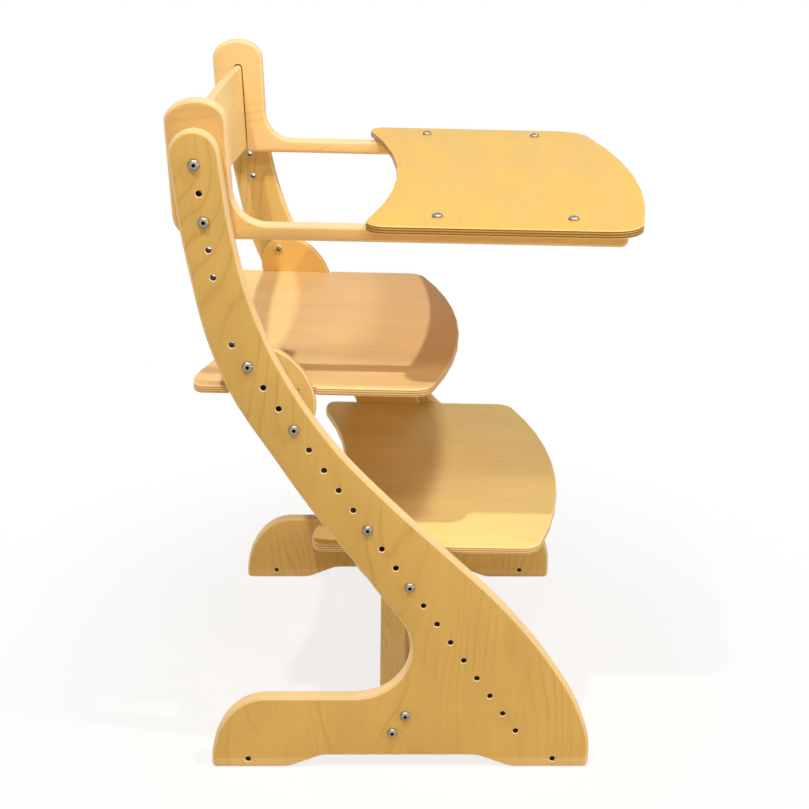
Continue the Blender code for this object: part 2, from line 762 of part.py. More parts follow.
def bracket_outline():
    """Oval bracket in the XZ plane, its long axis along the row of holes."""
    oval = arc((0.0, 0.0), BRACKET_HALF_LENGTH, 0.0, 2 * pi, BRACKET_HALF_WIDTH)[:-1]
    return [row_point(0.0, 0.0, ROW_LEAN, along, across) for along, across in oval]


def build_seat(name, unit, hole, fall, plate, bracket, screw, nut):
    """One height-adjustable unit: a plate tenoned into two brackets, each held by two screws and nuts."""
    x, z = main_row((hole + BRACKET_BOLT_HOLES / 2) * HOLE_PITCH)
    level = Matrix.Translation((x, 0.0, z)) @ Matrix.Rotation(fall, 4, "Y")
    add_part(name, plate, level, unit)
    for side, sign in SIDES:
        item = add_part(
            f"{name}_bracket_{side}", bracket, Matrix.Translation((x, sign * BRACKET_Y, z)) @ UPRIGHT, unit
        )
        tool = bmesh.new()
        slot = Matrix.Diagonal((TENON_LENGTH + 2 * FIT, 2 * PLATE_T, PLATE_T + 2 * FIT, 1.0))
        bmesh.ops.create_cube(
            tool, size=1.0, matrix=level @ Matrix.Translation((0.0, sign * BRACKET_Y, 0.0)) @ slot
        )
        for place, index in (("upper", hole), ("lower", hole + BRACKET_BOLT_HOLES)):
            bolt_x, bolt_z = main_row(index * HOLE_PITCH)
            outside = side_matrix(bolt_x, bolt_z, sign, PANEL_INNER_Y)
            add_drill(tool, outside, SLEEVE_HOLE_D, PLATE_T + CUT_PAST)
            head = side_matrix(bolt_x, bolt_z, sign, OVERALL_WIDTH / 2 + FIT)
            add_part(f"{name}_bolt_{side}_{place}", screw, head, unit)
            inside = side_matrix(bolt_x, bolt_z, -sign, FIT - BRACKET_INNER_Y)
            add_part(f"{name}_nut_{side}_{place}", nut, inside, unit)
        cut(item, add_tool(f"{name}_bracket_{side}_cuts", tool, unit))


def build_seats(screw):
    """The seat and the footrest, cut from the same plate."""
    plate = plate_mesh("seat_plate", seat_outline(), PLATE_T, SEAT_ROUND)
    finish(plate, BIRCH_TOP)
    bracket = plate_mesh("oval_bracket", bracket_outline(), PLATE_T, BRACKET_ROUND)
    finish(bracket, BIRCH_SIDE)
    nut = sleeve_mesh("sleeve_nut", flanged=True)
    for name, hole, fall in (("seat", SEAT_HOLE, SEAT_FALL), ("footrest", FOOTREST_HOLE, FOOTREST_FALL)):
        unit = add_unit(f"{name}_unit", *main_row((hole + BRACKET_BOLT_HOLES / 2) * HOLE_PITCH))
        build_seat(name, unit, hole, fall, plate, bracket, screw, nut)


def build_stretcher(unit):
    """Leaning board between the panels, held by long screws in barrel nuts."""
    length = 2 * (PANEL_INNER_Y - FIT)
    thick = PANEL_T / 2
    deep = STRETCHER_DEPTH / 2
    corners = [(-thick, -deep), (thick, -deep), (thick, deep), (-thick, deep)]
    mesh = plate_mesh("stretcher", rounded([(*corner, STRETCHER_ROUND) for corner in corners]), length)
    finish(mesh, BIRCH_SIDE)
    lean = Matrix.Rotation(STRETCHER_LEAN, 4, "Y")
    place = Matrix.Translation((STRETCHER_X, 0.0, STRETCHER_Z)) @ lean
    stretcher = add_part("stretcher", mesh, place @ UPRIGHT, unit)
    reach = BARREL_INSET + BARREL_D / 2 + BOLT_TIP_GAP
    screw = bolt_mesh("stretcher_screw", PANEL_T + reach)
    barrel = barrel_mesh()
    bores = bmesh.new()
    pockets = bmesh.new()
    for side, sign in SIDES:
        for level, (x, z) in zip(("upper", "lower"), stretcher_bolt_spots()):
            add_drill(bores, side_matrix(x, z, sign, length / 2), HOLE_D, reach + BOLT_TIP_GAP)
            middle = Matrix.Translation((x, sign * (length / 2 - BARREL_INSET), z)) @ lean
            across = middle @ Matrix.Rotation(pi / 2, 4, "Y")
            mouth = across @ Matrix.Translation((0.0, 0.0, thick))
            add_drill(pockets, mouth, BARREL_D + 2 * FIT, thick + BARREL_LENGTH / 2 + FIT)
            head = side_matrix(x, z, sign, OVERALL_WIDTH / 2 + FIT)
            add_part(f"stretcher_bolt_{side}_{level}", screw, head, unit)
            add_part(f"stretcher_barrel_nut_{side}_{level}", barrel, across, unit)
    cut(stretcher, add_tool("stretcher_bores", bores, unit), "bores")
    cut(stretcher, add_tool("stretcher_pockets", pockets, unit), "pockets")


def barrel_mesh():
    """Barrel nut: a short cylinder along +Z with a cross bore along Y."""
    body = bmesh.new()
    bmesh.ops.create_cone(
        body,
        cap_ends=True,
        segments=HOLE_SIDES,
        radius1=BARREL_D / 2,
        radius2=BARREL_D / 2,
        depth=BARREL_LENGTH,
    )
    mesh = bpy.data.meshes.new("barrel_nut")
    body.to_mesh(mesh)
    body.free()
    item = bpy.data.objects.new("barrel_nut", mesh)
    bore = bmesh.new()
    add_drill(bore, side_matrix(0.0, 0.0, 1, BARREL_D / 2), BORE_D, BARREL_D + CUT_PAST)
    tool_mesh = bpy.data.meshes.new("barrel_nut_bore")
    bore.to_mesh(tool_mesh)
    bore.free()
    tool = bpy.data.objects.new("barrel_nut_bore", tool_mesh)
    bpy.context.scene.collection.objects.link(tool)
    cut(item, tool)
    final = evaluated_mesh(item, "barrel_nut_bored")
    bpy.data.objects.remove(tool)
    shade_round(final)
    finish(final, ZINC)
    return final


def main():
    """Build the chair."""
    clear_scene()
    frame = add_unit("frame_unit", 0.0, 0.0)
    screw = bolt_mesh("panel_screw", PANEL_T + PLATE_T - BOLT_TIP_GAP)
    insert = sleeve_mesh("threaded_insert", flanged=False)
    build_panels(frame)
    build_arms(frame, screw, insert)
    build_backrest(frame)
    build_tray(frame)
    build_seats(screw)
    build_stretcher(frame)


main()
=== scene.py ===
"""Wooden high chair of clear-lacquered birch plywood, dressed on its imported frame.

Metres, +Z up; the chair faces +X and the sitter's left is +Y. Each board is drawn flat, filled, thickened,
rounded over and drilled, and then put in its place. It keeps its flat coordinates in an attribute, so that
the grain and the plies follow the board wherever it stands.
"""

from __future__ import annotations

import json
import logging
from collections.abc import Callable, Iterable, Sequence
from dataclasses import dataclass, field, replace
from enum import Enum
from math import atan2, ceil, cos, hypot, pi, radians, sin, sqrt, tan

import bmesh
import bpy
from mathutils import Matrix, Vector
from mathutils.geometry import interpolate_bezier

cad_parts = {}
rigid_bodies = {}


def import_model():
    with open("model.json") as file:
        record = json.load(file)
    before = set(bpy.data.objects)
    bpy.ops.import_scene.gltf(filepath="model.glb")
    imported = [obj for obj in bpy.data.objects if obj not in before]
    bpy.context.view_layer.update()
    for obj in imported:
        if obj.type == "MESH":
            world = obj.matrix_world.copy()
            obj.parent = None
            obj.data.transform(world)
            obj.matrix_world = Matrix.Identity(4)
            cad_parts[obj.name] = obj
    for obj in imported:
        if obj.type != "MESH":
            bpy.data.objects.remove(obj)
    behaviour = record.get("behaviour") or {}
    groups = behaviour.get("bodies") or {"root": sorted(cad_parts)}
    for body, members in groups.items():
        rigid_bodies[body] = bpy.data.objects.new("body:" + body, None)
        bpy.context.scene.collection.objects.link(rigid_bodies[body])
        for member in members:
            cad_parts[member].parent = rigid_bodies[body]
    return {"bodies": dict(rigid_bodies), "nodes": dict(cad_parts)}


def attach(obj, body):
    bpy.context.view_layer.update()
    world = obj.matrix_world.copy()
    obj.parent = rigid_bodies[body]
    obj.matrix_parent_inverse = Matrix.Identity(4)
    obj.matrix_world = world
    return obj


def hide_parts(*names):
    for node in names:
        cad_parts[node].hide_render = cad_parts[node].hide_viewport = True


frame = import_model()

log = logging.getLogger("high_chair")

SHEET = "sheet"  # attribute with a board's flat coordinates: along the grain, across it, depth
BORE = "bore"  # attribute that marks the drilled holes, where their painted shade and painted highlight go
RIM_MARK = 0.5  # its value in the broken edge of a hole
WALL_MARK = 1.0  # its value on the wall of a hole
ARC_STEP = radians(5.0)
CURVE_POINTS = 8  # points in each stretch of a free curve
QUARTER = 0.5523  # handle length of a Bezier quarter ellipse, as a share of its half axis
TURN_STEPS = 48  # sides of a turned fastener
HOLE_SIDES = 32
HEX_SIDES = 6
FINE_SEGMENTS = 4  # steps in the round-over of a thin edge
CUT_PAST = 0.004  # how far a cutter reaches beyond the face that it opens
WELD = 1e-6  # points closer than this are one point
SHARP_ANGLE = radians(38.0)
FACE_NORMAL = 0.9999  # a board's flat faces have more than this of their normal along its thickness
WALL_NORMAL = 0.95  # the broken edges and walls of its holes have less than this
UPRIGHT = Matrix.Rotation(pi / 2, 4, "X")  # lays a flat outline into the XZ plane
WHITE = (1.0, 1.0, 1.0, 1.0)
MM = 1000.0  # millimetres in a metre
COLOURS = {"data_type": "RGBA"}  # setting of a Mix node that mixes two colours
FIRST, SECOND, MIXED = 6, 7, 2  # its sockets: the two colours and the result

Point = tuple[float, float]
Pair = tuple[float, float]
Colour = tuple[float, float, float, float]
Tree = bpy.types.NodeTree
Socket = bpy.types.NodeSocket
Shape = bmesh.types.BMesh
Mesh = bpy.types.Mesh


class Body(Enum):
    """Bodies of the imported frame."""

    FRAME = "frame"
    SEAT = "seat"
    FOOTREST = "footrest"


class Side(Enum):
    """Sides of the chair, with the sign of Y there."""

    RIGHT = -1
    LEFT = 1

    @property
    def label(self) -> str:
        """Word for the side in the names of the nodes."""
        return self.name.lower()


class Slot(Enum):
    """Material slots of the record."""

    PANEL = "birch_panel"
    PLATE = "birch_plate"
    ZINC = "zinc_steel"


@dataclass(frozen=True)
class Stock:
    """Sizes that the sub-assemblies share."""

    overall_width: float = 0.500
    panel: float = 0.018
    plate: float = 0.010
    fit: float = 0.0003
    hole_d: float = 0.007

    @property
    def panel_inner_y(self) -> float:
        """Inner face of a side panel."""
        return self.overall_width / 2 - self.panel

    @property
    def bracket_y(self) -> float:
        """Middle of a bracket's thickness."""
        return self.panel_inner_y - self.fit - self.plate / 2

    @property
    def arm_y(self) -> float:
        """Middle of an arm's thickness."""
        return self.panel_inner_y - self.fit - self.panel / 2


STOCK = Stock()


@dataclass(frozen=True)
class Row:
    """Leaning row of holes in a side panel."""

    top: Point
    lean: float
    pitch: float
    count: int

    def point(self, along: float, across: float = 0.0) -> Point:
        """Find a point of the panel from the row.

        Args:
            along: Distance down the row from its first hole.
            across: Distance forward of the row.

        Returns:
            X and Z of the point.
        """
        return (
            self.top[0] + along * sin(self.lean) + across * cos(self.lean),
            self.top[1] - along * cos(self.lean) + across * sin(self.lean),
        )

    def hole(self, index: float) -> Point:
        """Middle of a hole, counted from the top."""
        return self.point(index * self.pitch)


MAIN_ROW = Row(top=(-0.2019, 0.5562), lean=radians(33.2), pitch=0.030, count=21)
UPPER_ROW = Row(top=(-0.2335, 0.755), lean=radians(6.8), pitch=0.0308, count=5)


def linear(code: str) -> Colour:
    """Turn an sRGB hex code into a linear colour.

    Args:
        code: Six hex digits after a hash sign.

    Returns:
        Linear red, green, blue and an alpha of one.
    """
    shares = [int(code[start : start + 2], 16) / 255 for start in (1, 3, 5)]
    red, green, blue = (c / 12.92 if c <= 0.04045 else ((c + 0.055) / 1.055) ** 2.4 for c in shares)
    return red, green, blue, 1.0


def add_node(
    tree: Tree,
    kind: str,
    settings: dict[str, object] | None = None,
    inputs: dict[str | int, object] | None = None,
) -> bpy.types.Node:
    """Add a node to a tree.

    Args:
        tree: Tree that takes the node.
        kind: Blender's name for the node type.
        settings: Values of the node's own properties.
        inputs: Values of its sockets by name or number; an output socket is linked. A Map Range node takes
            0 as its value, 1 and 2 as the range that comes in, 3 and 4 as the range that goes out.

    Returns:
        The new node.
    """
    node = tree.nodes.new(kind)
    for name, value in (settings or {}).items():
        setattr(node, name, value)
    for name, value in (inputs or {}).items():
        if isinstance(value, bpy.types.NodeSocket):
            tree.links.new(value, node.inputs[name])
        else:
            node.inputs[name].default_value = value
    return node


def new_material(name: str) -> tuple[bpy.types.Material, Tree]:
    """Make a material with an empty node tree.

    Args:
        name: Name of the material.

    Returns:
        The material and its tree.
    """
    material = bpy.data.materials.new(name)
    material.use_nodes = True
    material.node_tree.nodes.clear()
    return material, material.node_tree


@dataclass(frozen=True)
class Layer:
    """Colour that comes to the top where a value passes from one number to another."""

    value: Socket
    start: float
    end: float
    colour: Colour | Socket
    strength: float = 1.0

    def over(self, tree: Tree, ground: Socket) -> Socket:
        """Lay the colour over another one.

        Args:
            tree: Tree that takes the nodes.
            ground: Colour under it.

        Returns:
            Colour of both.
        """
        share = add_node(
            tree,
            "ShaderNodeMapRange",
            inputs={0: self.value, 1: self.start, 2: self.end, 3: 0.0, 4: self.strength},
        )
        return add_node(
            tree,
            "ShaderNodeMix",
            COLOURS,
            {"Factor": share.outputs[0], FIRST: ground, SECOND: self.colour},
        ).outputs[MIXED]


@dataclass(frozen=True)
class BirchPly:
    """Birch plywood under a clear satin lacquer.

    The face is rotary-cut veneer: pale, with thin brown growth lines that run in flames and come and go, a
    fine fibre and short dark flecks. Where an edge is cut, the plies show as light and dark bands; a pale
    band where a round-over starts is the cut of the face ply, made paler as a painted highlight. The walls of
    drilled holes are painted dark as shade, and their broken edges show raw wood, made paler as a painted
    highlight.
    """

    name: str
    thickness: float
    plies: int
    face: str
    figure: str
    long_ply: str
    cross_ply: str
    ply_strength: float
    figure_strength: float
    roughness: float
    # painted shade: dark colour on the walls of the drilled holes, where shade falls
    bore: str = "#6e4826"
    rim: str = "#f3ddb4"  # raw wood in the broken edge of a hole, made paler as a painted highlight
    outer_ply: str = "#fbe6bc"  # cut of the face ply where the round-over goes through the veneer, made paler as a painted highlight
    outer_strength: float = 0.45
    skin: Pair = (0.0001, 0.0005)  # depths between which it goes through
    ply_blend: Pair = (0.42, 0.58)  # share of a ply's depth over which its tone turns into the next one's
    ply_end: float = 0.0002  # depth over which the outer ply ends
    fray: float = 0.9  # how far the fibre frays the cut plies
    line_mm: float = 17.0  # growth lines on the face
    line_ends: float = 0.8  # strength at both ends of a growth line's profile
    line_profile: tuple[Pair, ...] = ((0.04, 1.0), (0.12, 0.35), (0.34, 0.0), (0.84, 0.0), (0.96, 0.5))
    line_patches: Pair = (0.42, 0.64)  # noise where the lines nearly vanish, and where they are full
    line_least: float = 0.08  # share of their strength that they keep there
    flame_mm: Pair = (300.0, 85.0)  # length and width of a flame
    flame_rings: float = 11.0  # growth lines that a flame pushes aside
    fibre_mm: Pair = (55.0, 1.8)  # real fibres are finer; as coarse as they need to be to show
    fleck_mm: Pair = (9.0, 1.5)
    fleck_peaks: Pair = (0.72, 0.82)  # only the peaks of that noise are flecks
    cloud_mm: Pair = (150.0, 55.0)
    noise_range: Pair = (0.25, 0.75)  # where nearly all of a noise lies
    fibre_tone: Pair = (0.965, 1.03)  # factors of the colour at the low and the high end of each noise
    cloud_tone: Pair = (0.94, 1.05)
    fleck_tone: Pair = (1.0, 0.93)
    patch_seed: float = 3.0  # shifts that part the noises of one board
    fleck_seed: float = 5.0
    cloud_seed: float = 7.0
    seed_axes: tuple[float, float, float] = (1.0, 1.7, 0.6)  # where a seed moves a noise
    worn_foot: float = 0.0  # height of the paler band that floor pads have left
    worn: str = "#ecd3a6"
    worn_strength: float = 0.30
    worn_edge: float = 0.001  # height over which that band ends
    gloss_range: Pair = (0.3, 0.7)
    gloss_play: float = 0.05
    bump_strength: float = 0.12
    bump_height: float = 0.0003
    specular: float = 0.10

    def noise(self, tree: Tree, sheet: Socket, size_mm: Pair, seed: float, detail: float) -> Socket:
        """Noise stretched along the grain.

        Args:
            tree: Tree that takes the nodes.
            sheet: Flat coordinates.
            size_mm: Length and width of the pattern.
            seed: Shift that gives each board its own figure.
            detail: Octaves of the noise.

        Returns:
            The noise, around one half.
        """
        along, across = (MM / size for size in size_mm)
        shift = tuple(seed * axis for axis in self.seed_axes)
        placed = add_node(
            tree,
            "ShaderNodeMapping",
            inputs={"Vector": sheet, "Location": shift, "Scale": (along, across, across)},
        )
        texture = add_node(
            tree, "ShaderNodeTexNoise", inputs={"Vector": placed.outputs[0], "Scale": 1.0, "Detail": detail}
        )
        return texture.outputs["Fac"]

    def growth_lines(self, tree: Tree, sheet: Socket, across: Socket, seed: float) -> Socket:
        """Brown growth lines, sharp on one side and soft on the other, which come and go.

        Args:
            tree: Tree that takes the nodes.
            sheet: Flat coordinates.
            across: Coordinate across the grain.
            seed: Shift that gives the board its own figure.

        Returns:
            Strength of the lines.
        """
        flame = self.noise(tree, sheet, self.flame_mm, seed, detail=1.0)
        straight = add_node(
            tree, "ShaderNodeMath", {"operation": "MULTIPLY"}, {0: across, 1: MM / self.line_mm}
        )
        rings = add_node(
            tree,
            "ShaderNodeMath",
            {"operation": "MULTIPLY_ADD"},
            {0: flame, 1: self.flame_rings, 2: straight.outputs[0]},
        )
        phase = add_node(tree, "ShaderNodeMath", {"operation": "FRACT"}, {0: rings.outputs[0]})
        ramp = add_node(tree, "ShaderNodeValToRGB", inputs={0: phase.outputs[0]})
        stops = ramp.color_ramp.elements
        for stop in stops:
            stop.color = (self.line_ends, self.line_ends, self.line_ends, 1.0)
        for position, value in self.line_profile:
            stops.new(position).color = (value, value, value, 1.0)
        patches = self.noise(tree, sheet, self.cloud_mm, seed + self.patch_seed, detail=1.0)
        start, end = self.line_patches
        faint = self.line_least * self.figure_strength
        strength = add_node(
            tree,
            "ShaderNodeMapRange",
            inputs={0: patches, 1: start, 2: end, 3: faint, 4: self.figure_strength},
        )
        return add_node(
            tree, "ShaderNodeMath", {"operation": "MULTIPLY"}, {0: ramp.outputs[0], 1: strength.outputs[0]}
        ).outputs[0]

    def veneer(self, tree: Tree, sheet: Socket, parts: bpy.types.Node, seed: float) -> Socket:
        """Colour of the face.

        Args:
            tree: Tree that takes the nodes.
            sheet: Flat coordinates.
            parts: Node that gives them one by one.
            seed: Shift that gives the board its own figure.

        Returns:
            The colour, with its figure and, on a foot, its worn band.
        """
        lines = self.growth_lines(tree, sheet, parts.outputs["Y"], seed)
        figured = add_node(
            tree,
            "ShaderNodeMix",
            COLOURS,
            {"Factor": lines, FIRST: linear(self.face), SECOND: linear(self.figure)},
        ).outputs[MIXED]
        if not self.worn_foot:
            return figured
        end = self.worn_foot - self.worn_edge
        band = Layer(parts.outputs["X"], self.worn_foot, end, linear(self.worn), self.worn_strength)
        return band.over(tree, figured)

    def cut_edge(self, tree: Tree, veneer: Socket, depth: Socket, fibre: Socket) -> Socket:
        """Put the bands of the cut plies on the edges.

        Args:
            tree: Tree that takes the nodes.
            veneer: Colour of the face.
            depth: Distance from the middle of the thickness.
            fibre: Noise that frays the bands.

        Returns:
            Colour of faces and edges.
        """
        level = add_node(
            tree,
            "ShaderNodeMapRange",
            {"clamp": False},
            {0: depth, 1: -self.thickness / 2, 2: self.thickness / 2, 3: -0.5, 4: self.plies - 0.5},
        ).outputs[0]
        odd = add_node(tree, "ShaderNodeMath", {"operation": "PINGPONG"}, {0: level, 1: 1.0})
        start, end = self.ply_blend
        cross = add_node(
            tree, "ShaderNodeMapRange", inputs={0: odd.outputs[0], 1: start, 2: end, 3: 0.0, 4: 1.0}
        )
        frayed = add_node(
            tree,
            "ShaderNodeMath",
            {"operation": "MULTIPLY_ADD"},
            {0: fibre, 1: self.fray, 2: -self.fray / 2},
        )
        mixed = add_node(
            tree,
            "ShaderNodeMath",
            {"operation": "ADD", "use_clamp": True},
            {0: cross.outputs[0], 1: frayed.outputs[0]},
        )
        plies = add_node(
            tree,
            "ShaderNodeMix",
            COLOURS,
            {"Factor": mixed.outputs[0], FIRST: linear(self.long_ply), SECOND: linear(self.cross_ply)},
        )
        from_middle = add_node(tree, "ShaderNodeMath", {"operation": "ABSOLUTE"}, {0: depth}).outputs[0]
        face = self.thickness / 2
        start, end = (face - sunk for sunk in self.skin)
        # painted highlight: a pale band where the round-over starts, over the cut of the face ply
        veneer_highlight_band = Layer(from_middle, start, end, linear(self.outer_ply), self.outer_strength)
        below = face - self.thickness / self.plies
        inner = Layer(from_middle, below, below - self.ply_end, plies.outputs[MIXED], self.ply_strength)
        return inner.over(tree, veneer_highlight_band.over(tree, veneer))

    def shade_wood(self, tree: Tree, colour: Socket, tones: Iterable[tuple[Socket, Pair]]) -> Socket:
        """Lighten and darken the wood by its noises; paint shade in its holes and a highlight on their rims.

        Args:
            tree: Tree that takes the nodes.
            colour: Colour of faces and edges.
            tones: Noises, each with the factors at its low and its high end.

        Returns:
            Colour of the wood.
        """
        start, end = self.noise_range
        for noise, (low, high) in tones:
            tone = add_node(tree, "ShaderNodeMapRange", inputs={0: noise, 1: start, 2: end, 3: low, 4: high})
            colour = add_node(
                tree,
                "ShaderNodeMix",
                {**COLOURS, "blend_type": "MULTIPLY"},
                {"Factor": 1.0, FIRST: colour, SECOND: tone.outputs[0]},
            ).outputs[MIXED]
        bore = add_node(tree, "ShaderNodeAttribute", {"attribute_name": BORE}).outputs["Fac"]
        # painted highlight on the broken edges of the holes, painted shade on their walls
        rim = Layer(bore, 0.0, RIM_MARK, linear(self.rim))
        wall = Layer(bore, RIM_MARK, WALL_MARK, linear(self.bore))
        return wall.over(tree, rim.over(tree, colour))

    def material(self, piece: str, seed: float) -> bpy.types.Material:
        """Make the finish of one board.

        Args:
            piece: Name of the board.
            seed: Shift that gives the board its own figure.

        Returns:
            The material.
        """
        material, tree = new_material(f"{self.name}_{piece}")
        sheet = add_node(tree, "ShaderNodeAttribute", {"attribute_name": SHEET}).outputs["Vector"]
        parts = add_node(tree, "ShaderNodeSeparateXYZ", inputs={0: sheet})
        fibre = self.noise(tree, sheet, self.fibre_mm, seed, detail=3.0)
        fleck = self.noise(tree, sheet, self.fleck_mm, seed + self.fleck_seed, detail=0.0)
        cloud = self.noise(tree, sheet, self.cloud_mm, seed + self.cloud_seed, detail=2.0)
        (start, end), (low, high) = self.fleck_peaks, self.noise_range
        sparse = add_node(tree, "ShaderNodeMapRange", inputs={0: fleck, 1: start, 2: end, 3: low, 4: high})
        veneer = self.veneer(tree, sheet, parts, seed)
        colour = self.cut_edge(tree, veneer, parts.outputs["Z"], fibre)
        tones = ((fibre, self.fibre_tone), (cloud, self.cloud_tone), (sparse.outputs[0], self.fleck_tone))
        start, end = self.gloss_range
        low, high = self.roughness - self.gloss_play, self.roughness + self.gloss_play
        gloss = add_node(tree, "ShaderNodeMapRange", inputs={0: cloud, 1: start, 2: end, 3: low, 4: high})
        bump = add_node(
            tree,
            "ShaderNodeBump",
            inputs={"Height": fibre, "Strength": self.bump_strength, "Distance": self.bump_height},
        )
        shader = add_node(
            tree,
            "ShaderNodeBsdfPrincipled",
            inputs={
                "Base Color": self.shade_wood(tree, colour, tones),
                "Roughness": gloss.outputs[0],
                "Normal": bump.outputs[0],
                "Specular IOR Level": self.specular,
            },
        )
        add_node(tree, "ShaderNodeOutputMaterial", inputs={0: shader.outputs[0]})
        return material


@dataclass(frozen=True)
class ZincSteel:
    """Zinc-plated steel: a grey metal with a faint cloudy bloom and tumbled, slightly rough faces."""

    name: str = "zinc_plated_steel"
    bright: str = "#a8a294"
    dull: str = "#7b766a"
    roughness: float = 0.38
    gloss_play: Pair = (-0.06, 0.08)
    bloom_mm: float = 2.5
    bloom_range: Pair = (0.3, 0.7)

    def material(self) -> bpy.types.Material:
        """Make the finish that the fasteners of one plating share.

        Returns:
            The material.
        """
        material, tree = new_material(self.name)
        place = add_node(tree, "ShaderNodeTexCoord")
        bloom = add_node(
            tree,
            "ShaderNodeTexNoise",
            inputs={"Vector": place.outputs["Object"], "Scale": MM / self.bloom_mm, "Detail": 3.0},
        ).outputs["Fac"]
        colour = add_node(
            tree,
            "ShaderNodeMix",
            COLOURS,
            {"Factor": bloom, FIRST: linear(self.bright), SECOND: linear(self.dull)},
        )
        start, end = self.bloom_range
        low, high = (self.roughness + play for play in self.gloss_play)
        gloss = add_node(tree, "ShaderNodeMapRange", inputs={0: bloom, 1: start, 2: end, 3: low, 4: high})
        shader = add_node(
            tree,
            "ShaderNodeBsdfPrincipled",
            inputs={"Base Color": colour.outputs[MIXED], "Roughness": gloss.outputs[0], "Metallic": 1.0},
        )
        add_node(tree, "ShaderNodeOutputMaterial", inputs={0: shader.outputs[0]})
        return material


PANEL_PLY = BirchPly(
    name="birch_panel_ply",
    thickness=STOCK.panel,
    plies=13,
    face="#d7b266",
    figure="#a86e2e",
    long_ply="#f0d8ac",
    cross_ply="#dfbf86",
    ply_strength=0.65,
    figure_strength=0.28,
    roughness=0.46,
    worn_foot=0.015,
)
NEAR_ARM_PLY = BirchPly(
    name="birch_arm_ply",
    thickness=STOCK.panel,
    plies=13,
    face="#e2b974",
    figure="#b8833a",
    long_ply="#f5dfb6",
    cross_ply="#e8c996",
    ply_strength=0.65,
    figure_strength=0.32,
    roughness=0.44,
    line_mm=16.0,
)
# paler copy of the arm finish: painted light for the stronger light on the far arm
FAR_ARM_LIT_PLY = replace(NEAR_ARM_PLY, face="#f4d194", figure="#c99a52")
# paler copy of the panel finish: painted light on the far panel
FAR_PANEL_LIT_PLY = replace(PANEL_PLY, face="#e4c074")
STRETCHER_PLY = replace(PANEL_PLY, name="birch_stretcher_ply", face="#e9c270", worn_foot=0.0)
SEAT_PLY = BirchPly(
    name="birch_seat_ply",
    thickness=STOCK.plate,
    plies=7,
    face="#f4ce91",
    figure="#cf9c52",
    long_ply="#f0cd94",
    cross_ply="#b08142",
    ply_strength=0.85,
    figure_strength=0.13,
    roughness=0.42,
)
FOOTREST_PLY = replace(SEAT_PLY, name="birch_footrest_ply", face="#f0d48c")
# paler copy of the seat finish: face and plies lightened as painted light on the backrest's front and top
# edge
BACKREST_LIT_PLY = replace(
    SEAT_PLY,
    name="birch_backrest_ply",
    face="#fbdc97",
    long_ply="#f4d8a6",
    cross_ply="#dcb478",
    ply_strength=0.6,
)
TRAY_PLY = BirchPly(
    name="birch_tray_ply",
    thickness=STOCK.plate,
    plies=7,
    face="#e7bd5c",
    figure="#cf953a",
    long_ply="#cfa050",
    cross_ply="#7d5216",
    ply_strength=0.95,
    figure_strength=0.08,
    roughness=0.40,
)
FAR_BRACKET_PLY = BirchPly(
    name="birch_bracket_ply",
    thickness=STOCK.plate,
    plies=7,
    face="#e8bc6a",
    figure="#b98540",
    long_ply="#e6bf86",
    cross_ply="#c08f48",
    ply_strength=0.7,
    figure_strength=0.3,
    roughness=0.42,
)
# darker copy of the bracket finish: painted shade on the near bracket, close by the near panel
NEAR_BRACKET_SHADED_PLY = replace(FAR_BRACKET_PLY, face="#d6b570")
ZINC = ZincSteel()
YELLOW_ZINC = ZincSteel(name="yellow_passivated_steel", bright="#e6cb92", dull="#bd9f66")  # sleeve nuts


